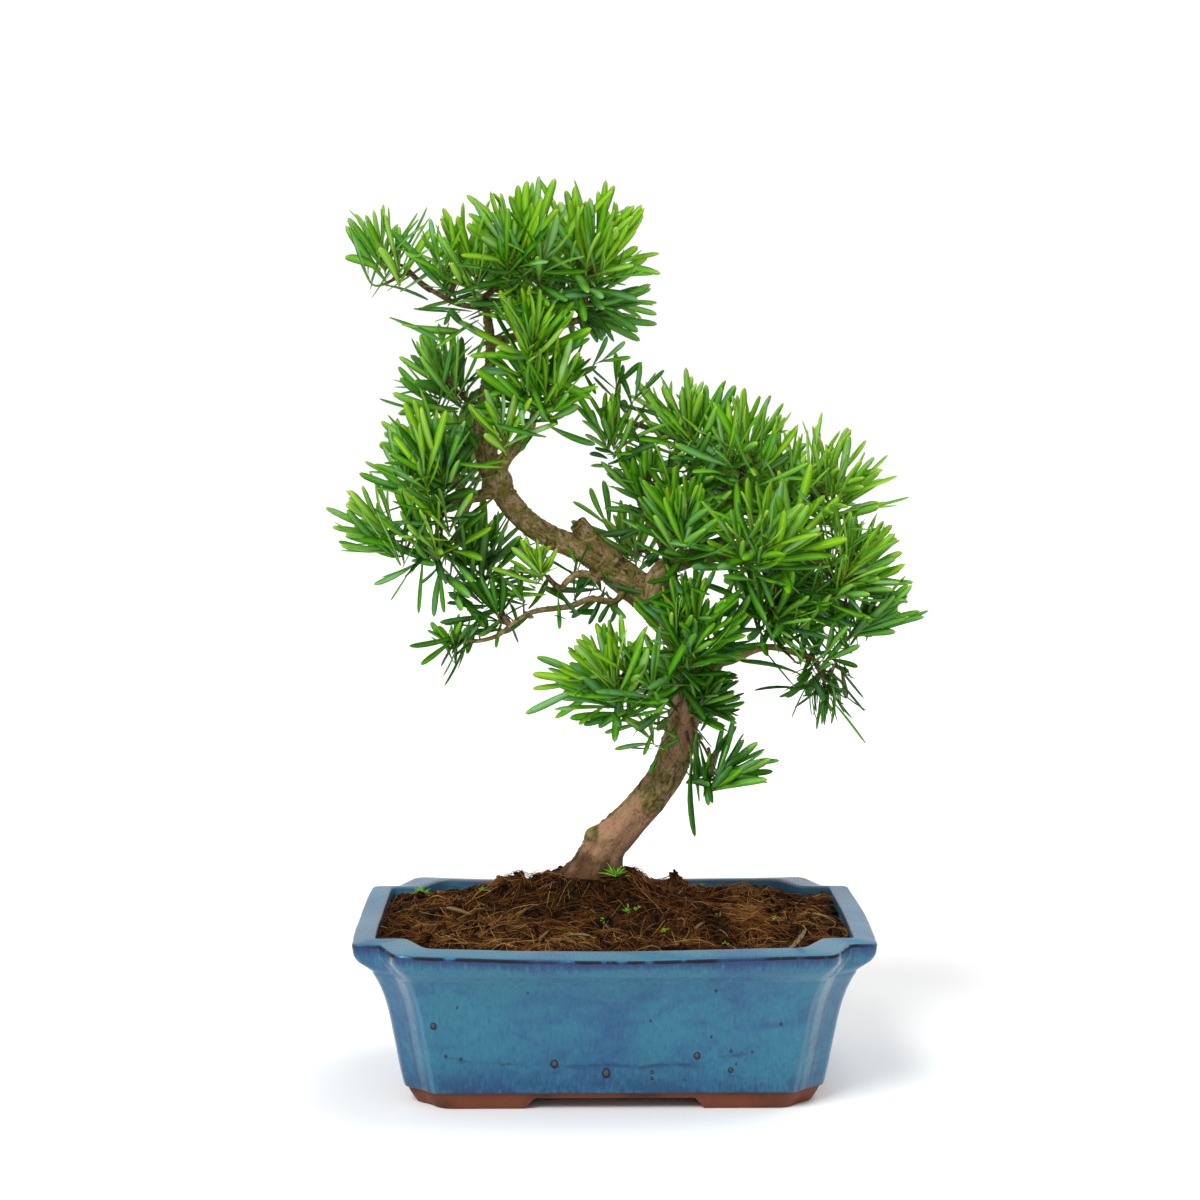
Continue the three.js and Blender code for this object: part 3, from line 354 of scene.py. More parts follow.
def monotone(xs: Array, ys: Array, at: Array) -> Array:
    """A smooth curve through values that never overshoots them.

    Args:
        xs: The rising places of the values.
        ys: The values, one to a row.
        at: The places asked for.

    Returns:
        The curve's values there, one to a row.
    """
    steps = np.diff(xs)[:, None]
    slopes = np.diff(ys, axis=0) / steps
    product, total = slopes[:-1] * slopes[1:], slopes[:-1] + slopes[1:]
    inner = np.where(product > 0, 2 * product / np.where(total == 0, 1, total), 0)
    tangents = np.vstack([slopes[0], inner, slopes[-1]])
    i = np.clip(np.searchsorted(xs, at, side="right") - 1, 0, len(xs) - 2)
    s = (at - xs[i])[:, None] / steps[i]
    start, leave = (1 + 2 * s) * (1 - s) ** 2, s * (1 - s) ** 2 * steps[i]
    end, arrive = s**2 * (3 - 2 * s), s**2 * (1 - s) * steps[i]
    return start * ys[i] + leave * tangents[i] + end * ys[i + 1] - arrive * tangents[i + 1]


def smoothstep(low: float, high: float, value: Array) -> Array:
    """0 at low, 1 at high, and an eased rise between."""
    s = np.clip((np.asarray(value, float) - low) / (high - low), 0, 1)
    return s * s * (3 - 2 * s)


def _lattice(cells: Array, seed: int) -> Array:
    """A repeatable number from -1 to 1 for each whole-numbered cell.

    Args:
        cells: The cells, by whole numbers along the last axis.
        seed: Which pattern.

    Returns:
        The numbers, one for each cell.
    """
    x, y, z = (cells[..., i].astype(np.int64) for i in range(3))
    mixed = (x * 374761393 + y * 668265263 + z * 2147483647 + seed * 974634777) & 0xFFFFFFFF
    mixed = ((mixed ^ (mixed >> 13)) * 1274126177) & 0xFFFFFFFF
    return ((mixed ^ (mixed >> 16)) & 0xFFFF) / 32767.5 - 1


def grain(points: Array, size: float | Sequence[float], octaves: int = 3, seed: int = 0) -> Array:
    """Soft random relief at points.

    Args:
        points: The points, one to a row, in millimetres.
        size: The size of its largest lumps, the same all ways or one for each axis.
        octaves: How many finer layers it has.
        seed: Which relief it is.

    Returns:
        A number for each point, mostly from -1 to 1.
    """
    total = np.zeros(points.shape[:-1])
    scaled = points / np.asarray(size, float)
    for octave in range(octaves):
        spot = scaled * 2**octave + 17.3 * octave
        cell = np.floor(spot)
        part = spot - cell
        part = part * part * (3 - 2 * part)
        layer = np.zeros(total.shape)
        for corner in np.ndindex(2, 2, 2):
            near = np.array(corner)
            share = np.prod(np.where(near == 1, part, 1 - part), axis=-1)
            layer += share * _lattice(cell + near, seed + octave)
        total += 0.5**octave * layer
    return total / (2 - 0.5 ** (octaves - 1)) * 1.6


# ---------------------------------------------------------------- meshes


def new_piece(name: str, points: Array, faces: Iterable[Sequence[int]] = (), edges: Iterable = (),
              home: bpy.types.Collection | None = None) -> Piece:
    """A mesh object at the origin, with its place in its mesh.

    Args:
        name: The piece's name.
        points: The corners in metres, one to a row.
        faces: The corner numbers of each face, anticlockwise from outside.
        edges: The corner numbers of loose edges.
        home: The collection it goes into, or the scene's own.

    Returns:
        The object.
    """
    mesh = bpy.data.meshes.new(name)
    mesh.from_pydata(np.asarray(points, float).tolist(), list(edges), list(faces))
    mesh.update()
    piece = bpy.data.objects.new(name, mesh)
    (home or bpy.context.scene.collection).objects.link(piece)
    return piece


def store(piece: Piece, **columns: Array) -> None:
    """Keeps numbers or vectors for each corner of a piece.

    Args:
        piece: The object.
        **columns: One number or one vector for each corner, under the attribute's name.
    """
    for name, values in columns.items():
        values = np.asarray(values)
        kind, key = ("INT" if values.dtype.kind == "i" else "FLOAT"), "value"
        if values.ndim == 2:
            kind, key = "FLOAT_VECTOR", "vector"
        piece.data.attributes.new(name, kind, "POINT").data.foreach_set(key, values.ravel())


def stored(piece: Piece, name: str) -> Array:
    """An attribute of a piece's corners, a number or a vector to a row.

    Args:
        piece: The piece that keeps it.
        name: The attribute's name.

    Returns:
        Its values.
    """
    layer = piece.data.attributes[name]
    width, key = (3, "vector") if layer.data_type == "FLOAT_VECTOR" else (1, "value")
    values = np.empty(len(layer.data) * width, np.float32)
    layer.data.foreach_get(key, values)
    return values.reshape(-1, width) if width > 1 else values


def ring_faces(rings: int, count: int, first: int = 0, caps: bool = False) -> list[tuple[int, ...]]:
    """The faces of a wall through closed rings of equal length that run anticlockwise, rising.

    Args:
        rings: How many rings there are.
        count: How many points a ring has.
        first: The number of the first ring's first point.
        caps: Whether the point before the first ring and the one after the last close the ends.

    Returns:
        The corner numbers of each face.
    """
    around = [(i, (i + 1) % count) for i in range(count)]
    levels = range(first, first + (rings - 1) * count, count)
    faces = [(low + i, low + j, low + count + j, low + count + i) for low in levels for i, j in around]
    if caps:
        last = first + (rings - 1) * count
        for i, j in around:
            faces += [(first - 1, first + j, first + i), (last + count, last + i, last + j)]
    return faces


def stack(name: str, layout: Layout, rings: Array, low: Sequence[float], high: Sequence[float]) -> Piece:
    """A closed piece through rings.

    Args:
        name: The piece's name.
        layout: Where the plant lies in the frame.
        rings: The rings' points in millimetres, from the lowest ring.
        low: The point that closes the first ring.
        high: The point that closes the last one.

    Returns:
        The piece.
    """
    points = layout.place(np.vstack([low, rings.reshape(-1, 3), high]))
    return new_piece(name, points, ring_faces(*rings.shape[:2], 1, caps=True))


def applied(piece: Piece) -> Piece:
    """Bakes a piece's modifiers into its mesh.

    Args:
        piece: The piece.

    Returns:
        The same piece, without modifiers.
    """
    piece.update_tag()
    graph = bpy.context.evaluated_depsgraph_get()
    made = bpy.data.meshes.new_from_object(
        piece.evaluated_get(graph), preserve_all_data_layers=True, depsgraph=graph
    )
    piece.modifiers.clear()
    old, piece.data = piece.data, made
    made.name = piece.name
    bpy.data.meshes.remove(old)
    return piece


def hand_over(slot: str, pieces: Iterable[Piece], *nodes: str) -> None:
    """Lets pieces ride on the plant's body, hides the solids that they stand for and logs their triangles.

    Args:
        slot: The record's material slot; not used.
        pieces: The pieces.
        *nodes: The solids that each of them stands for.
    """
    for piece in pieces:
        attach(piece, BODY)
        if nodes:
            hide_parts(*nodes)
        log.info("%s: %d triangles", piece.name, sum(len(face.vertices) - 2 for face in piece.data.polygons))


# ---------------------------------------------------------------- node trees


class Wire:
    """A node's output that takes part in sums."""

    def __init__(self, graph: Graph, socket: bpy.types.NodeSocket) -> None:
        """Wraps an output socket of a graph's node."""
        self.graph, self.socket = graph, socket

    def _sum(self, operation: str, a: Wire | float, b: Wire | float = 0.0) -> Wire:
        """The result of a Math node on two values."""
        return self.graph.value("ShaderNodeMath", {"operation": operation}, {0: a, 1: b})

    def __add__(self, other: Wire | float) -> Wire:
        """self + other."""
        return self._sum("ADD", self, other)

    def __radd__(self, other: float) -> Wire:
        """other + self."""
        return self._sum("ADD", other, self)

    def __sub__(self, other: Wire | float) -> Wire:
        """self - other."""
        return self._sum("SUBTRACT", self, other)

    def __rsub__(self, other: float) -> Wire:
        """other - self."""
        return self._sum("SUBTRACT", other, self)

    def __mul__(self, other: Wire | float) -> Wire:
        """self * other."""
        return self._sum("MULTIPLY", self, other)

    def __rmul__(self, other: float) -> Wire:
        """other * self."""
        return self._sum("MULTIPLY", other, self)

    def __abs__(self) -> Wire:
        """The value without its sign."""
        return self._sum("ABSOLUTE", self)

    def sine(self) -> Wire:
        """The value's sine."""
        return self._sum("SINE", self)

    def rise(self, low: float, high: float) -> Wire:
        """0 at low, 1 at high and an eased rise between, or a fall where low is over high.

        Args:
            low: Where the rise starts.
            high: Where it ends.

        Returns:
            The share, from 0 to 1.
        """
        sockets = {"Value": self, "From Min": min(low, high), "From Max": max(low, high)}
        made = self.graph.value("ShaderNodeMapRange", {"interpolation_type": "SMOOTHSTEP"}, sockets)
        return 1 - made if low > high else made


class Graph:
    """Adds nodes to a tree."""

    def __init__(self, tree: bpy.types.NodeTree) -> None:
        """Works on a tree, whose nodes are cleared."""
        self.tree = tree
        tree.nodes.clear()

    def node(self, kind: str, settings: dict | None = None, sockets: dict | None = None) -> bpy.types.Node:
        """Adds a node.

        Args:
            kind: The node's type.
            settings: What is set on the node itself, such as its operation.
            sockets: The value or the wire for each input, by its name or number.

        Returns:
            The node.
        """
        made = self.tree.nodes.new(kind)
        for name, value in (settings or {}).items():
            setattr(made, name, value)
        for key, value in (sockets or {}).items():
            entry = made.inputs[key]
            if isinstance(value, Wire):
                self.tree.links.new(value.socket, entry)
            else:
                entry.default_value = (*value, 1) if entry.type == "RGBA" else value
        return made

    def value(self, kind: str, settings: dict | None = None, sockets: dict | None = None,
              output: int | str = 0) -> Wire:
        """Adds a node as `node` does and returns one of its outputs."""
        return Wire(self, self.node(kind, settings, sockets).outputs[output])


class Shade(Graph):
    """A material's tree, with the patterns that the finishes share."""

    def __init__(self, name: str) -> None:
        """Makes a material with an empty tree.

        Args:
            name: The material's name.
        """
        self.material = bpy.data.materials.new(name)
        self.material.use_nodes = True
        super().__init__(self.material.node_tree)
        self.spot = self.value("ShaderNodeTexCoord", output="Object")

    def scaled(self, x: float, y: float, z: float, at: Wire | None = None) -> Wire:
        """The place on the piece, or another vector, scaled along each axis."""
        return self.value("ShaderNodeMapping", sockets={"Vector": at or self.spot, "Scale": (x, y, z)})

    def part(self, vector: Wire, axis: int) -> Wire:
        """One of a vector's three numbers."""
        return self.value("ShaderNodeSeparateXYZ", sockets={0: vector}, output=axis)

    def attribute(self, name: str, output: str = "Fac") -> Wire:
        """A number, or with the output Vector a vector, kept on the mesh."""
        return self.value("ShaderNodeAttribute", {"attribute_name": name}, output=output)

    def noise(self, scale: float, detail: float = 3, at: Wire | None = None, distortion: float = 0) -> Wire:
        """Soft noise from about 0.25 to 0.75, `scale` lumps to the metre."""
        sockets = {"Vector": at or self.spot, "Scale": scale, "Detail": detail, "Distortion": distortion}
        return self.value("ShaderNodeTexNoise", {"noise_dimensions": "3D"}, sockets)

    def layers(self, base: Wire | Colour, *coats: tuple[Wire | Colour, Wire | float]) -> Wire:
        """A colour under coats of others.

        Args:
            base: The lowest colour.
            *coats: The colour of each coat, and how much of it shows.

        Returns:
            The colour that is seen.
        """
        for colour, share in coats:
            base = self.value("ShaderNodeMix", {"data_type": "RGBA"}, {0: share, 6: base, 7: colour}, 2)
        return base

    def bump(self, height: Wire, distance: float, under: Wire | None = None) -> Wire:
        """A normal bent by a height, on top of another where one is given."""
        sockets = {"Height": height, "Distance": distance, "Strength": 1.0}
        return self.value("ShaderNodeBump", sockets=sockets | ({"Normal": under} if under else {}))

    def surface(self, colour: Wire | Colour, rough: Wire | float, gloss: float,
                **more: Wire | Colour | float) -> Material:
        """Ends the tree in a Principled shader.

        Args:
            colour: Its base colour.
            rough: Its roughness.
            gloss: Its specular level.
            **more: Its other inputs, with underscores for the spaces in their names.

        Returns:
            The material.
        """
        sockets = {"Base Color": colour, "Roughness": rough, "Specular IOR Level": gloss}
        sockets |= {key.replace("_", " "): value for key, value in more.items()}
        shader = self.value("ShaderNodeBsdfPrincipled", sockets=sockets)
        self.node("ShaderNodeOutputMaterial", sockets={"Surface": shader})
        return self.material


class Grower(Graph):
    """A geometry tree with named inputs, run once on a piece and then taken off it again."""

    def __init__(self, name: str, **inputs: str) -> None:
        """Makes the tree.

        Args:
            name: The tree's name.
            **inputs: The kind of each named input after the geometry.
        """
        super().__init__(bpy.data.node_groups.new(name, "GeometryNodeTree"))
        face = self.tree.interface
        for way in ("INPUT", "OUTPUT"):
            face.new_socket("Geometry", in_out=way, socket_type="NodeSocketGeometry")
        self.identifiers = {
            label: face.new_socket(label, in_out="INPUT", socket_type=f"NodeSocket{kind}").identifier
            for label, kind in inputs.items()
        }
        self.entry = self.node("NodeGroupInput")

    def given(self, label: str = "Geometry") -> Wire:
        """One of the tree's inputs."""
        return Wire(self, self.entry.outputs[label])

    def named(self, name: str, kind: str = "FLOAT") -> Wire:
        """An attribute of the geometry."""
        return self.value("GeometryNodeInputNamedAttribute", {"data_type": kind}, {"Name": name})

    def ends(self, geometry: Wire) -> None:
        """Ends the tree: instances are made real and take the finish.

        Args:
            geometry: The instances.
        """
        real = self.value("GeometryNodeRealizeInstances", sockets={"Geometry": geometry})
        sockets = {"Geometry": real, "Material": self.given("Finish")}
        done = self.value("GeometryNodeSetMaterial", sockets=sockets)
        self.node("NodeGroupOutput", sockets={"Geometry": done})

    def run(self, piece: Piece, **values: object) -> Piece:
        """Runs the tree on a piece, whose mesh becomes the result.

        Args:
            piece: The object that carries the geometry.
            **values: A value for each named input.

        Returns:
            The piece.
        """
        modifier = piece.modifiers.new(self.tree.name, "NODES")
        modifier.node_group = self.tree
        for key, value in values.items():
            modifier[self.identifiers[key]] = value
        return applied(piece)


# ---------------------------------------------------------------- finishes


class Finish:
    """A finish: a material made once from its own sizes and colours."""

    name: str

    def material(self) -> Material:
        """The finish's material, made when it is first asked for."""
        return bpy.data.materials.get(self.name) or self.made(Shade(self.name))

    def made(self, shade: Shade) -> Material:
        """Builds the material in an empty tree."""
        raise NotImplementedError

    def dress(self, piece: Piece, angle: float | None = None) -> Piece:
        """Shades a piece smooth, but for edges over the angle in degrees, and puts the finish on it.

        Args:
            piece: The piece.
            angle: The angle, or None to shade all of it smooth.

        Returns:
            The same piece.
        """
        piece.data.shade_smooth()
        if angle is not None:
            piece.data.set_sharp_from_angle(angle=math.radians(angle))
        piece.data.materials.append(self.material())
        return piece


@dataclass(frozen=True)
class Glaze(Finish):
    """A runny blue glaze that thins to brown on the rim's edges and pools darker under them and at the foot.

    The mesh keeps `edge`, the distance in millimetres down the outside from the rim's outer edge, which is
    negative across the rim's top, `height`, `ledge`, which is 1 where the glaze has gathered on a faint
    ledge, and `arris`, which is 1 on an outer corner and -1 in a notch.
    """

    name: str = "blue_glaze"
    body: Colour = (0.008, 0.085, 0.2)
    teal: Colour = (0.014, 0.15, 0.235)
    navy: Colour = (0.0012, 0.024, 0.11)
    pale: Colour = (0.085, 0.22, 0.33)
    brown: Colour = (0.007, 0.002, 0.005)
    tan: Colour = (0.2, 0.12, 0.1)

    def made(self, shade: Shade) -> Material:
        """Builds the glaze.

        Args:
            shade: The tree to build it in.

        Returns:
            The material.
        """
        edge, height = shade.attribute("edge"), shade.attribute("height")
        clouds = shade.noise(16, 4, distortion=0.6)
        blotches = shade.noise(1, 4, shade.scaled(34, 34, 62), 1.2)
        streaks = shade.noise(1, 3, shade.scaled(620, 620, 70))
        specks = shade.noise(1100, 2)
        worn = shade.noise(70, 3, distortion=0.8)
        pool = height.rise(32, 12) * (blotches * 0.7 + streaks * 0.3).rise(0.4, 0.58)
        bleed = edge.rise(0.1, 0.9) * (edge - (streaks * 6 + blotches * 5)).rise(2.6, -4.0)
        ledge = shade.attribute("ledge") * shade.noise(1, 3, shade.scaled(60, 60, 130)).rise(0.4, 0.6)
        arris = shade.attribute("arris") * edge.rise(4, 12)
        line = edge.rise(-0.9, -0.3) * (edge - worn * 2.2).rise(0.7, -0.1) * worn.rise(0.33, 0.45)
        line = line * (0.55 + clouds.rise(0.4, 0.56) * 0.42)
        inner = edge.rise(-11.4, -12.4) * edge.rise(-15.2, -14.0) * worn.rise(0.38, 0.52)
        colour = shade.layers(
            self.body,
            (self.teal, (clouds * 0.6 + blotches * 0.4).rise(0.36, 0.62)),
            (self.navy, blotches.rise(0.42, 0.28) * 0.16),
            (self.navy, streaks.rise(0.5, 0.8) * 0.5),
            (self.pale, streaks.rise(0.46, 0.2) * 0.34),
            (self.navy, specks.rise(0.52, 0.7) * 0.35),
            (self.navy, pool * 0.66),
            (self.navy, bleed * 0.95),
            (self.navy, ledge * 0.8),
            # Painted shadow: a near-black line just above the glaze's lower edge, where its rounded overhang
            # is shaded.
            (self.brown, height.rise(11.6, 10.3) * 0.7),
            # Painted highlight: the top of the rim is lightened towards the pale blue.
            (self.pale, edge.rise(0.3, -1.6) * (0.1 + clouds * 0.5)),
            (self.pale, arris.rise(0.7, 1.0) * 0.45),
            (self.navy, arris.rise(-0.4, -0.95) * 0.45),
            (self.brown, line),
            (self.tan, inner * 0.5),
        )
        normal = shade.bump(shade.noise(230, 2).rise(0.3, 0.7), 0.0001, shade.bump(clouds, 0.0014))
        return shade.surface(colour, 0.22 + specks * 0.12 + line * 0.4, 0.26, Normal=normal,
                             Coat_Weight=0.42 - line * 0.42, Coat_Roughness=0.1)


@dataclass(frozen=True)
class Clay(Finish):
    """Unglazed stoneware, red brown and faintly sheened, with a fine grain."""

    name: str = "bare_clay"
    body: Colour = (0.165, 0.04, 0.014)
    dark: Colour = (0.06, 0.018, 0.009)

    def made(self, shade: Shade) -> Material:
        """Builds the clay.

        Args:
            shade: The tree to build it in.

        Returns:
            The material.
        """
        clouds, sand = shade.noise(45, 4), shade.noise(1500, 2)
        colour = shade.layers(self.body, (self.dark, clouds.rise(0.45, 0.7) * 0.8),
                              (self.dark, sand.rise(0.55, 0.75) * 0.5))
        normal = shade.bump(sand, 0.0002, shade.bump(clouds, 0.0008))
        return shade.surface(colour, 0.4 + clouds * 0.25, 0.3, Normal=normal)


@dataclass(frozen=True)
class Pinhole(Finish):
    """The dull brown skin of a burst bubble in the glaze, and the wider dark ring set a little below it, whose
    `tint` is 1.
    """

    name: str = "burst_glaze"
    body: Colour = (0.12, 0.075, 0.065)
    rim: Colour = (0.004, 0.012, 0.045)

    def made(self, shade: Shade) -> Material:
        """Builds the skin.

        Args:
            shade: The tree to build it in.

        Returns:
            The material.
        """
        pits, pool = shade.noise(1800, 2), shade.attribute("tint")
        colour = shade.layers(self.body, (self.rim, pits.rise(0.45, 0.6) * 0.8), (self.rim, pool))
        return shade.surface(colour, 0.6 - pool * 0.3, 0.25, Normal=shade.bump(pits, 0.0002))


@dataclass(frozen=True)
class Peat(Finish):
    """Moist peat: nearly black where it is wet, red brown where it has dried, with dark specks painted as the
    shade of deep holes.
    """

    name: str = "peat"
    wet_and_shade: Colour = (0.004, 0.002, 0.001)
    brown: Colour = (0.042, 0.016, 0.005)
    dry: Colour = (0.17, 0.06, 0.014)
    moss: Colour = (0.035, 0.042, 0.008)

    def made(self, shade: Shade) -> Material:
        """Builds the peat.

        Args:
            shade: The tree to build it in.

        Returns:
            The material.
        """
        lumps, crumbs = shade.noise(55, 5), shade.noise(420, 4)
        zones = shade.noise(15, 3, distortion=0.5)
        strands = shade.noise(1, 3, shade.scaled(900, 300, 900), 2)
        colour = shade.layers(
            self.wet_and_shade,
            (self.brown, crumbs.rise(0.36, 0.6)),
            (self.dry, lumps.rise(0.46, 0.68) * strands.rise(0.4, 0.66)),
            (self.moss, shade.noise(26, 3).rise(0.58, 0.7) * crumbs.rise(0.4, 0.6) * 0.6),
            (self.wet_and_shade, zones.rise(0.5, 0.62) * 0.6),
            # Painted shade: dark specks that stand for the shade in deep holes of the peat.
            (self.wet_and_shade, shade.noise(210, 2).rise(0.5, 0.62) * 0.8),
        )
        normal = shade.bump(strands, 0.0009, shade.bump(crumbs, 0.0022))
        return shade.surface(colour, 0.75 + crumbs * 0.3, 0.06, Normal=normal)


@dataclass(frozen=True)
class Fibre(Finish):
    """A dry plant fibre or scrap, of one colour with lighter and darker stretches."""

    name: str
    body: Colour
    dark: Colour

    def made(self, shade: Shade) -> Material:
        """Builds the fibre.

        Args:
            shade: The tree to build it in.

        Returns:
            The material.
        """
        bright = (shade.noise(120, 3) + shade.attribute("tint") * 0.5).rise(0.35, 0.95)
        colour = shade.layers(self.dark, (self.body, bright))
        return shade.surface(colour, 0.7, 0.1, Normal=shade.bump(shade.noise(2500, 1), 0.0001))


class Twig(Fibre):
    """The skin of a thin twig, ringed with the scars of fallen leaves."""

    def made(self, shade: Shade) -> Material:
        """Builds the skin.

        Args:
            shade: The tree to build it in.

        Returns:
            The material.
        """
        scars = shade.noise(650, 3)
        colour = shade.layers(self.body, (self.dark, scars.rise(0.42, 0.64)))
        return shade.surface(colour, 0.62, 0.2, Normal=shade.bump(scars, 0.0006))


@dataclass(frozen=True)
class Bark(Finish):
    """Thin bark: pinkish tan where it is smooth, grey and olive where it flakes, dark in its cracks.

    The mesh keeps `rough`, 1 where the bark flakes, `crack`, 1 in its hollows, and `fibre`, its place with
    the limb's length along the third axis, in metres.
    """

    name: str = "bark_skin"
    tan: Colour = (0.39, 0.23, 0.12)
    pink: Colour = (0.38, 0.19, 0.12)
    olive: Colour = (0.19, 0.155, 0.04)
    grey: Colour = (0.35, 0.25, 0.13)
    dark: Colour = (0.026, 0.013, 0.006)
    low_dark: Colour = (0.055, 0.024, 0.01)

    def made(self, shade: Shade) -> Material:
        """Builds the bark.

        Args:
            shade: The tree to build it in.

        Returns:
            The material.
        """
        along = shade.scaled(1, 1, 0.42, shade.attribute("fibre", "Vector"))
        rough, crack = shade.attribute("rough"), shade.attribute("crack")
        clouds, lichen = shade.noise(95, 4), shade.noise(150, 5, distortion=0.8)
        specks, plates = shade.noise(900, 3, along), shade.noise(330, 5, along, 0.8)
        flaky = shade.layers(self.olive, (self.grey, lichen.rise(0.46, 0.62)),
                             (self.pink, clouds.rise(0.56, 0.68) * 0.7))
        # Darker low down: fully so below 152 mm and not at all above 178 mm.
        low_share = (shade.part(shade.spot, 2) + clouds * 0.05 + plates * 0.012).rise(0.178, 0.152)
        colour = shade.layers(
            self.tan,
            (self.pink, clouds.rise(0.42, 0.58)),
            (self.grey, plates.rise(0.5, 0.62) * 0.75),
            (self.dark, shade.noise(520, 5, distortion=1.5).rise(0.44, 0.32) * 0.6),
            (flaky, (rough * 0.8 + lichen * 0.5).rise(0.42, 0.78)),
            (self.dark, specks.rise(0.44, 0.3) * (0.35 + rough * 0.45)),
            (self.dark, plates.rise(0.42, 0.3) * (0.2 + rough * 0.5)),
            (self.dark, crack * 0.8),
            (self.low_dark, low_share * 0.9),
        )
        relief = specks * 0.5 + plates * (0.35 + rough * 0.65)
        normal = shade.bump(relief, 0.0019, shade.bump(lichen * rough, 0.0018))
        return shade.surface(colour, 0.72 + plates * 0.25, 0.15, Normal=normal)


@dataclass(frozen=True)
class Blade(Finish):
    """A strap leaf: a plain colour of its own, a little yellower at its tip and root and along its midrib, and
    on some leaves paler and bluer with a painted sheen.

    The mesh's map holds how far across the blade a spot is, from -1 to 1 on its face and from 3 to 5 on its
    underside, and how far along it is. `tint` differs from leaf to leaf.
    """

    name: str
    body: Colour
    shadow: Colour
    tip: Colour
    under: Colour
    painted_sheen: Colour
    dullness: float = 0.34

    def made(self, shade: Shade) -> Material:
        """Builds the leaf.

        Args:
            shade: The tree to build it in.

        Returns:
            The material.
        """
        place = shade.value("ShaderNodeUVMap", {"uv_map": "blade"})
        across, along, tint = shade.part(place, 0), shade.part(place, 1), shade.attribute("tint")
        below = across.rise(1.5, 2.5)
        beside = abs(across - below * 4)
        # Painted sheen: on some leaves the colour is mixed towards a paler, bluer one that stands for the
        # white surroundings reflected on the glossy blade.
        sheen_share = tint.rise(0.3, 0.9) * shade.noise(70, 2).rise(0.38, 0.58)
        colour = shade.layers(
            self.body,
            (self.shadow, (tint * 0.7 + shade.noise(130, 2) * 0.6).rise(0.4, 0.9) * 0.75),
            (self.painted_sheen, sheen_share * 0.7),
            (self.under, below * 0.85),
            (self.tip, along.rise(0.88, 1.0) * 0.5),
            (self.tip, along.rise(0.2, 0.0) * 0.5),
            (self.shadow, beside.rise(0.35, 1.0) * 0.55),
            (self.tip, beside.rise(0.2, 0.04) * 0.5),
        )
        normal = shade.bump((across * 21.0).sine() * 0.12 + beside.rise(0.22, 0.0), 0.00025)
        return shade.surface(
            colour, self.dullness + tint * 0.1 + below * 0.18, 0.11, Normal=normal,
            Subsurface_Weight=0.12, Subsurface_Radius=(0.3, 1.0, 0.12), Subsurface_Scale=0.0015,
        )


@dataclass(frozen=True)
class Backdrop(Finish):
    """The plain pale floor."""

    name: str = "pale_floor"
    body: Colour = (0.93, 0.93, 0.93)

    def made(self, shade: Shade) -> Material:
        """Builds the floor."""
        return shade.surface(self.body, 0.9, 0.1)


LEAVES: dict[Tone, Blade] = {
    Tone.YOUNG: Blade("leaf_young", (0.235, 0.55, 0.016), (0.16, 0.46, 0.01), (0.56, 0.76, 0.05),
                      (0.28, 0.55, 0.07), (0.29, 0.54, 0.27)),
    Tone.FRESH: Blade("leaf_fresh", (0.145, 0.46, 0.012), (0.08, 0.35, 0.008), (0.42, 0.7, 0.03),
                      (0.19, 0.45, 0.06), (0.22, 0.47, 0.25)),
    Tone.MATURE: Blade("leaf_mature", (0.078, 0.33, 0.007), (0.042, 0.22, 0.005), (0.23, 0.52, 0.02),
                       (0.12, 0.33, 0.055), (0.13, 0.34, 0.17)),
    Tone.DARK: Blade("leaf_dark", (0.036, 0.15, 0.005), (0.018, 0.085, 0.003), (0.1, 0.28, 0.02),
                     (0.085, 0.2, 0.05), (0.075, 0.19, 0.1)),
    Tone.WITHERED: Blade("leaf_withered", (0.26, 0.14, 0.06), (0.11, 0.055, 0.03), (0.3, 0.19, 0.1),
                         (0.32, 0.22, 0.14), (0.3, 0.19, 0.1), 0.5),
}
WOODY_TWIG = Twig("twig_wood", (0.15, 0.09, 0.045), (0.045, 0.026, 0.014))
GREEN_TWIG = Twig("twig_green", (0.14, 0.26, 0.02), (0.05, 0.11, 0.012))
STRAW = Fibre("straw_fibre", (0.56, 0.33, 0.1), (0.2, 0.095, 0.025))
COIR = Fibre("coir_fibre", (0.25, 0.095, 0.018), (0.03, 0.011, 0.003))
MOSS = Fibre("moss_green", (0.2, 0.6, 0.02), (0.08, 0.34, 0.015))


# ---------------------------------------------------------------- what the growers repeat


class TubeGrower(Grower):
    """Skins every line of a mesh of edges with a round section whose size is the attribute `radius`."""

    def __init__(self) -> None:
        """Builds the tree."""
        super().__init__("tubes", Sides="Int", Finish="Material")
        lines = self.value("GeometryNodeMeshToCurve", sockets={"Mesh": self.given()})
        ring = self.value("GeometryNodeCurvePrimitiveCircle", {"mode": "RADIUS"},
                          {"Resolution": self.given("Sides"), "Radius": 1.0})
        skin = self.value("GeometryNodeCurveToMesh", sockets={
            "Curve": lines, "Profile Curve": ring, "Scale": self.named("radius"), "Fill Caps": True,
        })
        self.ends(self.value("GeometryNodeSetShadeSmooth", sockets={"Geometry": skin}))


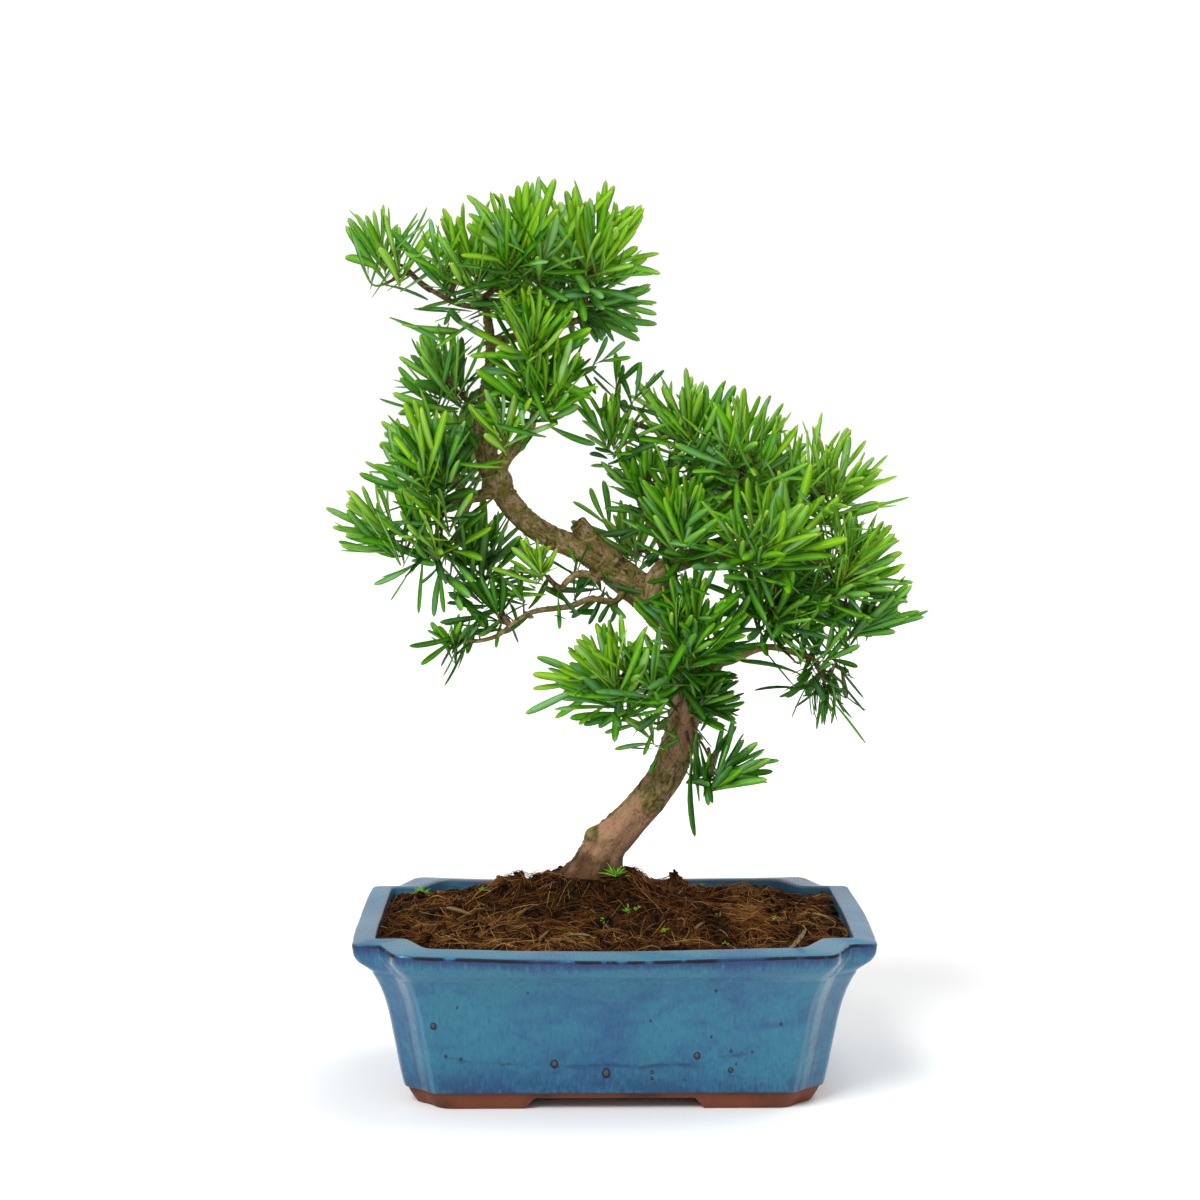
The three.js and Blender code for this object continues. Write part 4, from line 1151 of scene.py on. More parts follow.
class Scatterer(Grower):
    """Puts a shape from a collection on every point of a mesh.

    The points' attributes say which shape (`pick`), where its length points (`along`), which way it faces
    (`face`) and its size (`size`). Their `tint` is handed on.
    """

    def __init__(self) -> None:
        """Builds the tree."""
        super().__init__("scatter", Shapes="Collection", Finish="Material")
        shapes = self.value("GeometryNodeCollectionInfo", sockets={
            "Collection": self.given("Shapes"), "Separate Children": True, "Reset Children": True,
        })
        turn: dict[str, Wire] = {}
        for name, axis, pivot in (("along", "Y", "AUTO"), ("face", "Z", "Y")):
            sockets = {"Factor": 1.0, "Vector": self.named(name, "FLOAT_VECTOR"), **turn}
            settings = {"axis": axis, "pivot_axis": pivot}
            turn = {"Rotation": self.value("FunctionNodeAlignRotationToVector", settings, sockets)}
        self.ends(self.value("GeometryNodeInstanceOnPoints", sockets={
            "Points": self.given(), "Instance": shapes, "Pick Instance": True,
            "Instance Index": self.named("pick", "INT"), "Scale": self.named("size", "FLOAT_VECTOR"), **turn,
        }))


@dataclass
class Strands:
    """Thin lines to be skinned as tubes."""

    points: list[Array] = field(default_factory=list)
    radii: list[Array] = field(default_factory=list)
    tints: list[float] = field(default_factory=list)

    def add(self, points: Array, radii: Array | Row, tint: float = 0.5) -> None:
        """Adds a line of points in millimetres with a radius at each.

        Args:
            points: The line's points.
            radii: The radius at each.
            tint: The number that the line keeps for its finish.
        """
        self.points.append(points)
        self.radii.append(np.asarray(radii))
        self.tints.append(tint)


@dataclass(frozen=True)
class Maker:
    """A part of the plant, with what its pieces are made by."""

    layout: Layout
    tubes: TubeGrower
    scatterer: Scatterer

    def skinned(self, name: str, strands: Strands, sides: int, finish: Finish) -> Piece:
        """Makes one piece of thin lines.

        Args:
            name: The piece's name.
            strands: The lines.
            sides: How many sides a tube has.
            finish: The tubes' finish.

        Returns:
            The piece.
        """
        counts = [len(line) for line in strands.points]
        starts = np.cumsum([0, *counts]).tolist()
        edges = [(i, i + 1) for first, end in zip(starts, starts[1:]) for i in range(first, end - 1)]
        piece = new_piece(name, self.layout.place(np.vstack(strands.points)), edges=edges)
        store(piece, radius=np.concatenate(strands.radii) * MM, tint=np.repeat(strands.tints, counts))
        return self.tubes.run(piece, Sides=sides, Finish=finish.material())

    def scattered(self, name: str, rows: Sequence[tuple], shapes: Iterable[tuple], finish: Finish) -> Piece:
        """Makes a piece of small shapes, which are themselves thrown away after use.

        Args:
            name: The piece's name.
            rows: For each spot its place, along, face, size, pick and tint.
            shapes: The points and faces of each shape to pick from, and a leaf's places on its map.
            finish: Their finish.

        Returns:
            The piece.
        """
        kinds = bpy.data.collections.new("shapes")
        for number, (points, faces, *places) in enumerate(shapes):
            mesh = new_piece(f"shape_{number:02d}", points, faces, home=kinds).data
            mesh.shade_smooth()
            if places:
                mesh.uv_layers.new(name="blade").data.foreach_set("uv", places[0].ravel())
        place, along, face, size, pick, tint = (np.array(column) for column in zip(*rows))
        piece = new_piece(name, place)
        store(piece, pick=pick, along=along, face=face, size=size, tint=tint)
        self.scatterer.run(piece, Shapes=kinds, Finish=finish.material())
        for shape in list(kinds.objects):
            bpy.data.meshes.remove(shape.data)
        bpy.data.collections.remove(kinds)
        return piece


def bowed(start: Array, bend: Array, end: Array, t: float | Array) -> Array:
    """A curve from one point to another that is pulled towards a third, at t from 0 to 1."""
    return (1 - t) ** 2 * start + 2 * t * (1 - t) * bend + t * t * end


# ---------------------------------------------------------------- pot


@dataclass(frozen=True)
class Outline:
    """The pot's outline from above: long and short panels, and at each corner an ear set back by a notch.

    Its sizes are the half length and half depth of the ears, then those of the panels, and how deep the
    notch is. Higher up the panels belly out a little and the rim sags between the ears.
    """

    flat: float = 0.6
    ease: float = 4.5
    eases: Spot = (1.0, 0.8, 1.4)
    turns: int = 8
    spacing: float = 3.2
    belly: float = 3.5
    end_belly: float = 2.0
    sag: float = 2.4
    shape: Row = (152.4, 80, 126.4, 107, 1)

    def corners(self, sizes: Array | Row) -> Array:
        """The twelve corners, anticlockwise from the right back ear, for each row of sizes.

        Args:
            sizes: The rows, in the order of `shape`.

        Returns:
            The corners, by row, round the pot and by axis.
        """
        ear_x, ear_y, panel_x, panel_y, depth = np.atleast_2d(np.asarray(sizes, float)).T
        out = self.flat * (panel_y - ear_y) * (1 - depth)
        notch = np.stack([ear_x - self.flat * (ear_x - panel_x), ear_y + out], -1)
        quarter = np.stack([np.stack([ear_x, ear_y], -1), notch, np.stack([panel_x, panel_y], -1)], 1)
        turned = (quarter * (-1, 1))[:, ::-1], quarter * (-1, -1), (quarter * (1, -1))[:, ::-1]
        return np.concatenate([quarter, *turned], 1)

    def _plan(self) -> tuple[Array, list[int]]:
        """How far each corner is eased, and how many parts each straight is cut into.

        Returns:
            The eases of the twelve corners, and the parts of the straight after each.
        """
        eases = np.tile(self.ease * np.array(self.eases + self.eases[::-1]), 2)
        corners = self.corners(self.shape)[0]
        lengths = np.linalg.norm(np.roll(corners, -1, axis=0) - corners, axis=1) - eases - np.roll(eases, -1)
        return eases, [max(1, round(length / self.spacing)) for length in lengths]

    def paths(self, sizes: Array) -> Array:
        """The outline's points for each row of sizes, the same count in the same order for all.

        Args:
            sizes: The rows, in the order of `shape`.

        Returns:
            The points, by row, round the pot and by axis.
        """
        corners = self.corners(sizes)
        eases, parts = self._plan()
        ways = (np.roll(corners, step, axis=1) - corners for step in (1, -1))
        start, end = (corners + unit(way) * eases[:, None] for way in ways)
        t = np.linspace(0, 1, self.turns + 1)[:, None]
        made = []
        for i, count in enumerate(parts):
            leave = end[:, i, None]
            made.append(bowed(start[:, i, None], corners[:, i, None], leave, t))
            share = (np.arange(1, count) / count)[:, None]
            made.append(leave + (start[:, (i + 1) % 12, None] - leave) * share)
        return np.concatenate(made, 1)

    def arrises(self) -> Array:
        """For each point of a path, 1 on the arris of an outer corner, -1 in a notch and 0 on a straight.

        Returns:
            The shares, one for each point.
        """
        peak = np.sin(np.linspace(0, math.pi, self.turns + 1)) ** 2
        made = []
        for i, count in enumerate(self._plan()[1]):
            made += [-peak if i % 6 in (1, 4) else peak, np.zeros(count - 1)]
        return np.concatenate(made)

    def relaxed(self, points: Array) -> Array:
        """Bellies the panels out and lets the rim sag, as in a pot shaped by hand.

        Args:
            points: Points of the pot as drawn.

        Returns:
            The points where the hand left them.
        """
        x, y, z = points.T
        ear_x, ear_y, panel_x, panel_y, _ = self.shape
        high = smoothstep(45, 101, z)
        long_side = np.clip(1 - (x / panel_x) ** 2, 0, 1) * np.clip(np.abs(y) / panel_y, 0, 1) ** 3
        short_side = np.clip(1 - (y / ear_y) ** 2, 0, 1) * np.clip(np.abs(x) / ear_x, 0, 1) ** 6
        made = points.copy()
        made[:, 0] += np.sign(x) * self.end_belly * high * short_side
        made[:, 1] += np.sign(y) * self.belly * high * long_side
        made[:, 2] -= self.sag * smoothstep(75, 100, z) * (long_side + 0.5 * short_side)
        return made


@dataclass(frozen=True)
class Pot(Maker):
    """The glazed pot, its unglazed foot, and the burst bubbles in its glaze.

    A level is a height and the outline's sizes there, a bubble its place on the front and its radius, and the
    passage the half length and half depth of the gaps between the feet, their slope and their height.
    """

    outline: Outline = Outline()
    levels: tuple[Row, ...] = (
        (0, 118.8, 57.4, 104, 73.7, 0.25), (10, 124, 59.4, 106.2, 76, 0.25),
        (40, 129.6, 64.7, 110.6, 85, 0.25), (64, 134.2, 68.4, 114.2, 91.4, 0.25),
        (82.5, 142, 72.4, 119.6, 98.4, 0.35), (89.5, 149.8, 76.8, 123.4, 104.2, 0.8),
        (94, 151.8, 79.4, 125.8, 106.4, 1), (99, 152.4, 80, 126.4, 107, 1),
    )
    glaze_line: float = 10
    lip: float = 98.9
    lip_radius: float = 1.7
    rim_width: float = 13.4
    rim_top: float = 102
    inner_radius: float = 1.5
    wall: float = 9
    floor: float = 18
    wobble: float = 0.35
    band: float = 82.4
    run_line: tuple[Span, ...] = (
        (-96, 34), (-78.6, 31), (-59.5, 29.2), (-30.6, 27.3), (-7.4, 30.2), (15.8, 28.3), (50.6, 29.4),
        (70.8, 36), (84, 42),
    )
    bubbles: tuple[Spot, ...] = (
        (-105, 54.8, 1.7), (-98.2, 35.3, 0.8), (-89.6, 33.5, 0.7), (-91.1, 66.4, 0.6), (-35.2, 30.3, 2.1),
        (-5.1, 24.3, 2.2), (21.6, 24.6, 1.0), (21.6, 20.4, 0.8), (47.7, 35.4, 1.8), (67.4, 38.2, 0.8),
        (67.4, 25.8, 1.5), (70.5, 29.5, 0.6), (79.7, 37.6, 0.7), (95.9, 55.3, 0.8), (55.7, 47.4, 0.6),
        (57.8, 76.9, 0.8), (20.4, 57.6, 0.6), (40.2, 19.5, 0.5), (-50.3, 75.8, 0.5), (-62, 30, 0.5),
    )
    more_bubbles: int = 14
    foot_inset: float = 1.6
    passage: Row = (47, 22, 7, 7)
    foot_wall: float = 13

    def sizes(self, heights: Array | float, drawn_in: Array | float = 0) -> Array:
        """The outline's sizes at heights, drawn in by a distance.

        Args:
            heights: The heights.
            drawn_in: How far in, for all or for each.

        Returns:
            The sizes, one row for each height.
        """
        rows = np.array(self.levels, float)
        made = monotone(rows[:, 0], rows[:, 1:], np.atleast_1d(np.asarray(heights, float)))
        return made - np.multiply.outer(np.broadcast_to(drawn_in, len(made)), (1, 0.7, 1.35, 1, 0))

    def inside(self, gap: float) -> Array:
        """The sizes of the rim's inner edge, drawn in by a gap."""
        return self.sizes(self.lip, self.rim_width + gap)[0]

    def on_it(self, spot: Array | Row) -> Array:
        """A single spot, relaxed as the pot is, in metres in the frame."""
        return self.layout.place(self.outline.relaxed(np.array([spot], float))[0])

    def _rings(self, source: Array, drawn: Array, heights: Array) -> Array:
        """The outlines of heights, drawn in and laid at other heights."""
        paths = self.outline.paths(self.sizes(source, drawn))
        return np.concatenate([paths, np.broadcast_to(heights[:, None, None], (*paths.shape[:2], 1))], -1)

    def _profile(self) -> Array:
        """The glazed body's profile: the height its size comes from, how far it is drawn in, its height.

        Returns:
            The three numbers, each along the last axis.
        """
        rows = [(10.0, 1.6, 10.0), (10.0, 0.7, 10.0), (10.2, 0.2, 10.3), (10.6, 0.0, 10.7)]
        spans = (11.2, 23, 1.6), (23, 46, 0.8), (46, 79, 1.8), (79, 86, 0.7), (86, self.lip, 1.2)
        rows += [(z, 0.0, z) for span in spans for z in np.arange(*span)]
        for a in np.radians(np.linspace(0, 72, 7)):
            drawn, top = self.lip_radius * (1 - math.cos(a)), self.lip + self.lip_radius * math.sin(a)
            rows.append((self.lip, drawn, top))
        _, drawn, low = rows[-1]
        inner = self.rim_width - self.inner_radius
        for s in np.linspace(0, 1, 9)[1:]:
            top = low + (self.rim_top - low) * (1.3 * s - 0.3 * s * s)
            rows.append((self.lip, drawn + (inner - drawn) * s, top))
        for a in np.radians(np.linspace(0, 90, 6)[1:]):
            top = self.rim_top - self.inner_radius * (1 - math.cos(a))
            rows.append((self.lip, inner + self.inner_radius * math.sin(a), top))
        rows += [(self.lip, self.rim_width, 95), (self.lip, self.rim_width, 88)]
        return np.array(rows + [(z, self.wall, z) for z in (80, 40, self.floor)]).T

    def body(self) -> Piece:
        """Makes the glazed body as one closed shell.

        Returns:
            The piece.
        """
        source, drawn, heights = self._profile()
        rings = self._rings(source, drawn, heights)
        down = np.hypot(np.diff(self.sizes(source, drawn)[:, 3]), np.diff(heights))
        reach = np.concatenate([[0], np.cumsum(down)])
        lip = int(np.argmax(drawn[8:] > 0)) + 9
        edge = np.repeat(reach[lip] - reach, rings.shape[1])
        flat = rings.reshape(-1, 3)
        outward = unit(np.column_stack([flat[:, :2], np.zeros(len(flat))]))
        groove = np.exp(-(((flat[:, 2] - self.band) / 1.1) ** 2)) * (edge > 0) * 0.5
        ledge = self._ledge(flat) * (edge > 0)
        shift = self.wobble * grain(flat, 46, 2, 3) - groove - 0.35 * ledge
        shaped = self.outline.relaxed(flat + outward * shift[:, None])
        shaped[:, 2] += 0.45 * grain(flat * (1, 1, 0), 70, 2, 5) * smoothstep(90, 100, flat[:, 2])
        ends = (0, 0, self.glaze_line), (0, 0, self.floor)
        piece = stack("glazed_body", self.layout, shaped.reshape(rings.shape), *ends)
        arris = np.tile(self.outline.arrises(), len(rings))
        columns = {"edge": edge, "height": flat[:, 2], "ledge": ledge, "arris": arris}
        store(piece, **{name: np.pad(values, 1) for name, values in columns.items()})
        return Glaze().dress(piece)

    def _ledge(self, points: Array) -> Array:
        """How near points are to the faint ledge where the glaze stopped for a while on the front.

        Args:
            points: The points.

        Returns:
            The share for each, 1 on the ledge.
        """
        xs, zs = np.array(self.run_line).T
        x, y, z = points.T
        away = z - (np.interp(x, xs, zs) + 0.8 * grain(points * (1, 0, 0), 14, 2, 8))
        ends = smoothstep(xs[0] - 4, xs[0] + 10, x) * smoothstep(xs[-1] + 4, xs[-1] - 10, x)
        return np.exp(-((away / np.where(away > 0, 1.0, 2.6)) ** 2)) * ends * (y < -60)

    def foot(self) -> Piece:
        """Makes the foot: a ring of bare clay cut through both ways, which leaves four corner feet.

        Returns:
            The piece.
        """
        rows = (0, 1.2, 0.0), (0.4, 0.5, 0.4), (1, 0.1, 1), (4, 0, 4), (7.5, 0, 7.5), (10, 0, 10.2)
        piece = self._block("clay_foot", [(z, drawn + self.foot_inset, height) for z, drawn, height in rows])
        half_length, half_depth, slope, top = self.passage
        beyond = 300
        cutters = [
            self._wedge("crossways", (half_length + slope, beyond), (half_length, beyond), top),
            self._wedge("lengthways", (beyond, half_depth + slope), (beyond, half_depth), top),
            self._block("inside", [(0, self.foot_wall, -1), (0, self.foot_wall, top)]),
        ]
        for cutter in cutters:
            cut = piece.modifiers.new(cutter.name, "BOOLEAN")
            cut.operation, cut.solver, cut.object = "DIFFERENCE", "EXACT", cutter
        bevel = piece.modifiers.new("worn_edges", "BEVEL")
        bevel.width, bevel.segments = 0.5 * MM, 2
        bevel.limit_method, bevel.angle_limit = "ANGLE", math.radians(50)
        applied(piece)
        for cutter in cutters:
            bpy.data.objects.remove(cutter)
        return Clay().dress(piece, 40)

    def _block(self, name: str, rows: Sequence[Row]) -> Piece:
        """A closed block through rows like those of the profile."""
        rings = self._rings(*np.array(rows, float).T)
        return stack(name, self.layout, rings, (0, 0, rows[0][2]), (0, 0, rows[-1][2]))

    def _wedge(self, name: str, low: Span, high: Span, top: float) -> Piece:
        """A block with sloping sides, from under the ground up to a height.

        Args:
            name: Its name.
            low: Its half sizes at its foot.
            high: Its half sizes at its top.
            top: Its height.

        Returns:
            The block.
        """
        square = np.array([(1, 1), (-1, 1), (-1, -1), (1, -1)], float)
        points = [(*(corner * half), z) for half, z in ((low, -1.0), (high, top)) for corner in square]
        return new_piece(name, self.layout.place(points), [(3, 2, 1, 0), (4, 5, 6, 7), *ring_faces(2, 4)])

    def burst_bubbles(self) -> Piece:
        """Makes the brown skins of the burst bubbles on the front, and a few more on the back.

        Returns:
            The piece.
        """
        stream = Stream(51)
        bubbles = [(*bubble, -1.0) for bubble in self.bubbles]
        spans = (-104, 104), (16, 74), (0.5, 1.9)
        bubbles += [(*stream.vector(*spans), 1.0) for _ in range(self.more_bubbles)]
        rows = []
        for x, z, radius, side in bubbles:
            near = self.sizes(np.array([z, z + 1]))[:, 3]
            lean = near[1] - near[0]
            place = self.outline.relaxed(np.array([[x, side * near[0], z]]))[0]
            out, up = unit(np.array([0, side, -lean])), unit(np.array([0, side * lean, 1]))
            place = place + out * (0.1 + self.wobble * grain(place[None], 46, 2, 3)[0])
            spot, long = self.layout.place(place), stream.between(0.95, 1.3)
            # The skin, then a wider, flatter dark dome set a quarter of the radius lower.
            for wide, high, pool in ((0.8, 0.5, 0.0), (1.12, 0.2, 1.0)):
                size = np.array([radius * wide, radius * long * (wide + 0.2 * pool), radius * high]) * MM
                rows.append((spot - up * (0.25 * pool * radius * MM), up, out, size, 0, pool))
        return self.scattered("burst_bubbles", rows, [dome(12, 4)], Pinhole())

    def build(self) -> None:
        """Makes the pot's pieces."""
        body, foot, bubbles = self.body(), self.foot(), self.burst_bubbles()
        hand_over("glaze", [body], "pot")
        hand_over("clay", [foot], "pot_foot")
        hand_over("glaze", [bubbles])


def dome(sides: int, levels: int) -> tuple[Array, list[tuple[int, ...]]]:
    """The points and faces of a flattened dome of unit size on its own hidden underside, facing +Z.

    Args:
        sides: How many sides it has.
        levels: How many rings.

    Returns:
        Its points and faces.
    """
    around = np.arange(sides) * 2 * math.pi / sides
    sizes = [(1.0, -0.4)] + [(math.cos(a), math.sin(a)) for a in np.linspace(0, math.pi / 2, levels + 1)[:-1]]
    rings = [np.column_stack([np.cos(around) * size, np.sin(around) * size, np.full(sides, height)])
             for size, height in sizes]
    return np.vstack([[0, 0, -0.4], *rings, [0, 0, 0.92]]), ring_faces(len(rings), sides, 1, caps=True)


# ---------------------------------------------------------------- soil


@dataclass(frozen=True)
class RootBall(Maker):
    """The peat in the pot, with its crumbs, coir and straw fibres, moss and fallen leaves.

    A heap is its middle, its height and its spread both ways, a tangle its middle, its radius and how
    likely a fibre stays in it, a tuft its middle, its reach and how many sprouts it has.
    """

    pot: Pot
    edge: float = 96
    front_lift: float = 2.6
    ground: float = 123
    seat: Span = (-13, 14)
    seat_radius: float = 22
    shoulder: float = 0.5
    unevenness: float = 1.3
    clearance: float = 0.5
    bottom: float = 90
    rings: int = 96
    heaps: tuple[Row, ...] = (
        (-13, 14, 27, 62, 46), (-66, 26, 8, 15, 14), (41, 34, 10, 11, 10), (82, 36, 9, 17, 14),
        (60, -34, 5, 44, 22), (-62, -42, 3, 40, 20),
    )
    tangles: tuple[Row, ...] = (
        (-92, -34, 30, 1.0), (-62, -68, 34, 1.0), (-24, -72, 34, 0.7), (84, 30, 26, 1.0), (98, -8, 26, 0.9),
        (78, -56, 34, 0.6), (44, 40, 22, 0.8), (-60, 44, 26, 0.8), (-100, 30, 22, 0.6), (20, -84, 30, 0.5),
        (0, 78, 40, 0.5),
    )
    litter: tuple[Span, ...] = ((-24, -22), (-62, 4), (-44, -30), (28, -40), (70, -20), (-84, -6))
    tufts: tuple[Row, ...] = (
        (2.2, -3, 13, 18), (-120, 60, 7, 22), (-112, 52, 5, 14), (-30, 12, 3.4, 12), (30, -52, 3.2, 10),
        (64, -74, 3, 9), (-80, 18, 3, 9), (8, -30, 3.4, 12), (14, -24, 3, 10), (-6, -36, 2.6, 8),
        (96, -30, 2.6, 7), (-40, 62, 3.6, 10), (58, 70, 3.6, 10),
    )

    def height(self, x: Array, y: Array) -> Array:
        """The height of the ground at places, with its heaps, its crumbs and its rise to the front wall.

        Args:
            x: The places across the pot.
            y: The places along its depth.

        Returns:
            The heights.
        """
        total = np.full(np.shape(x), self.edge, float)
        for hx, hy, rise, spread_x, spread_y in self.heaps:
            total = total + rise * np.exp(-(((x - hx) / spread_x) ** 2) - ((y - hy) / spread_y) ** 2)
        total = total + self.unevenness * np.sin(x * 0.23 + 1.7) * np.sin(y * 0.31 + 0.4)
        away = np.hypot(x - self.seat[0], y - self.seat[1])
        near = np.exp(-((np.maximum(away / self.seat_radius - 1, 0) / self.shoulder) ** 2))
        total = total + (self.ground - 0.3 - total) * near
        spots = np.column_stack([x, y, np.zeros(len(x))])
        lumps, hollows = grain(spots, 17, 2, 21), grain(spots, 6.5, 2, 24)
        relief = 2.2 * lumps + 3.0 * np.abs(grain(spots, 8, 2, 22)) + 1.3 * grain(spots, 3, 2, 23)
        relief -= 2.6 * smoothstep(0.1, 0.6, hollows)
        front = self.front_lift * smoothstep(-60, -88, y)
        return total + front + relief * (0.25 + 0.75 * smoothstep(16, 30, away)) - 0.6

    def ground_piece(self) -> Piece:
        """Makes the ground as a closed block with a fine surface.

        Returns:
            The piece.
        """
        wall = self.pot.outline.paths(self.pot.inside(self.clearance))[0]
        centre = np.array(self.seat, float)
        share = (np.linspace(0, 1, self.rings, endpoint=False) ** 0.9)[:, None, None]
        flat = (wall[None] + (centre - wall)[None] * share).reshape(-1, 2)
        from_wall = np.repeat(share[:, 0, 0], len(wall))
        height = self.height(flat[:, 0], flat[:, 1]) - 1.6 * (1 - smoothstep(0, 0.035, from_wall))
        skirt = np.column_stack([wall, np.full(len(wall), float(self.bottom))])
        low, peak = (*centre, self.bottom), (*centre, self.ground - 0.6)
        points = self.pot.outline.relaxed(np.vstack([low, skirt, np.column_stack([flat, height]), peak]))
        faces = ring_faces(self.rings + 1, len(wall), 1, caps=True)
        return Peat().dress(new_piece("peat_ground", self.layout.place(points), faces))

    def spots_in(self, count: int, stream: Stream, clustered: float) -> Array:
        """Places on the ground, thicker in the tangles.

        Args:
            count: How many.
            stream: Where its numbers come from.
            clustered: The share of places that go to the tangles.

        Returns:
            The places, an x and a y to a row.
        """
        made: list[Span] = []
        ear_x, ear_y, panel_x, panel_y, _ = self.pot.inside(1.5)
        while len(made) < count:
            if stream.next() < clustered:
                x, y, spread, weight = self.tangles[int(stream.next() * len(self.tangles))]
                if stream.next() > weight:
                    continue
                radius, turn = spread * math.sqrt(stream.next()), stream.turn()
                x, y = x + radius * math.cos(turn), y + radius * math.sin(turn)
            else:
                x, y = stream.vector((-ear_x, ear_x), (-panel_y, panel_y))
            inside = (abs(x) < panel_x and abs(y) < panel_y) or (abs(x) < ear_x and abs(y) < ear_y)
            if inside and math.hypot(x - self.seat[0], y - self.seat[1]) > 17:
                made.append((x, y))
        return np.array(made)

    def crumbs(self, count: int = 6000) -> Piece:
        """Makes loose crumbs of peat that lie on the ground.

        Args:
            count: How many.

        Returns:
            The piece.
        """
        stream = Stream(301)
        places = self.spots_in(count, stream, 0.25)
        rows = []
        for x, y, z in np.column_stack([places, self.height(*places.T)]):
            size = 0.45 + 1.5 * stream.next() ** 3
            along = unit(stream.vector(*ALL_WAYS[:2], (-0.4, 0.4)))
            face = unit(stream.vector(*ALL_WAYS[:2], (0, 1)))
            shape = [size * stream.between(0.6, 1), size * stream.between(0.9, 1.6), size * 0.75]
            spot = self.pot.on_it((x, y, z + 0.15 * size))
            rows.append((spot, along, face, np.array(shape) * MM, int(stream.next() * 4), stream.next()))
        return self.scattered("peat_crumbs", rows, map(lump, range(4)), Peat())

    def fibre(self, x: float, y: float, length: float, stream: Stream, arch: float) -> Array:
        """A thin line that wanders over the ground and arches a little off it.

        Args:
            x: Where it lies across the pot.
            y: Where it lies in its depth.
            length: Its length.
            stream: The numbers that bend it.
            arch: How high it may arch.

        Returns:
            The line's points.
        """
        steps = 8
        heading = 5 * grain(np.array([[x, y, 0.0]]), 34, 1, 33)[0] + stream.between(-1, 1)
        bend = stream.between(-0.05, 0.05) if stream.next() < 0.75 else stream.between(-0.3, 0.3)
        ear_x, ear_y, panel_x, panel_y, _ = self.pot.inside(0.8)
        line = []
        for _ in range(steps):
            line.append((x, y))
            heading += bend + stream.between(-0.04, 0.04)
            x += math.cos(heading) * length / (steps - 1)
            y += math.sin(heading) * length / (steps - 1)
            if abs(y) > ear_y:
                x = min(max(x, -panel_x), panel_x)
            x, y = min(max(x, -ear_x), ear_x), min(max(y, -panel_y), panel_y)
        spots = np.array(line)
        t = np.linspace(0, 1, steps)
        lift = arch * np.sin(math.pi * t) ** 0.8 * stream.between(0.2, 1) + stream.between(0.1, 1.1)
        tilt = (t - 0.5) * stream.between(-1, 1) * arch
        height = np.pad(self.height(spots[:, 0], spots[:, 1]), 2, mode="edge")
        height = np.convolve(height, np.hanning(7)[1:-1] / 3, mode="valid")
        return self.pot.outline.relaxed(np.column_stack([spots, height + lift + tilt]))

    def fibres(self, name: str, count: int, seed: int, thick: Span, finish: Finish,
               clustered: float) -> Piece:
        """Makes fibres strewn over the ground.

        Args:
            name: The piece's name.
            count: How many fibres.
            seed: The seed of their places.
            thick: Their thinnest and thickest radius.
            finish: Their finish.
            clustered: The share of fibres in the tangles.

        Returns:
            The piece.
        """
        stream, strands = Stream(seed), Strands()
        for x, y in self.spots_in(count, stream, clustered):
            length = stream.between(9, 20) + 26 * stream.next() ** 3
            line = self.fibre(x, y, length, stream, stream.between(0.4, 4.2))
            taper = 1 - 0.6 * np.abs(np.linspace(-1, 1, len(line))) ** 3
            strands.add(line, stream.between(*thick) * taper, stream.next())
        return self.skinned(name, strands, 3, finish)

    def mosses(self) -> Piece:
        """Makes the sprouts: a star of moss near the trunk's front, and small tufts round the ground.

        Returns:
            The piece.
        """
        stream, strands = Stream(77), Strands()
        t = np.linspace(0, 1, 5)[:, None]
        for x, y, reach, leaves in self.tufts:
            for k in range(leaves):
                turn = k * GOLDEN + stream.between(-0.2, 0.2)
                way = direction(turn, math.radians(stream.between(12, 75)))
                start = np.array([x + stream.between(-1, 1), y + stream.between(-1, 1), 0.0])
                start[2] = self.height(start[:1], start[1:2])[0] + 0.2 * reach
                length = reach * stream.between(0.6, 1)
                line = start + way * length * t - np.array([0, 0, 0.22 * length]) * t**2
                strands.add(self.pot.outline.relaxed(line), (0.24, 0.36, 0.34, 0.24, 0.08), stream.next())
        return self.skinned("moss_sprouts", strands, 4, MOSS)

    def fallen(self) -> Piece:
        """Makes the withered leaves that lie on the ground.

        Returns:
            The piece.
        """
        stream = Stream(88)
        rows = []
        for x, y in [*self.litter, *self.spots_in(9, stream, 0.2)]:
            turn, tilt = stream.turn(), stream.between(-0.25, 0.5)
            spot = self.pot.on_it((x, y, self.height(np.array([x]), np.array([y]))[0] + 1.2))
            along = unit(np.array([math.cos(turn), math.sin(turn), tilt]))
            face = unit(np.array([*stream.vector((-0.6, 0.6), (-0.9, 0)), 1.0]))
            length = stream.between(11, 22)
            size = np.array([stream.between(2.2, 3.6), length, length]) * MM
            face = unit(face - along * (face @ along))
            rows.append((spot, along, face, size, int(stream.next() * len(CURLED)), stream.next()))
        shapes = [shape.mesh() for shape in CURLED]
        return self.scattered("fallen_leaves", rows, shapes, LEAVES[Tone.WITHERED])

    def build(self) -> None:
        """Makes the root ball's pieces."""
        hand_over("soil", [self.ground_piece()], "soil")
        hand_over("soil", [
            self.crumbs(),
            self.fibres("coir_fibres", 2900, 411, (0.07, 0.18), COIR, 0.4),
            self.fibres("straw_fibres", 600, 433, (0.07, 0.2), STRAW, 0.85),
            self.fallen(),
            self.mosses(),
        ])


def direction(turn: float, rise: float) -> Array:
    """The direction at an angle round the upright and an angle over the ground."""
    return np.array([math.cos(turn) * math.cos(rise), math.sin(turn) * math.cos(rise), math.sin(rise)])


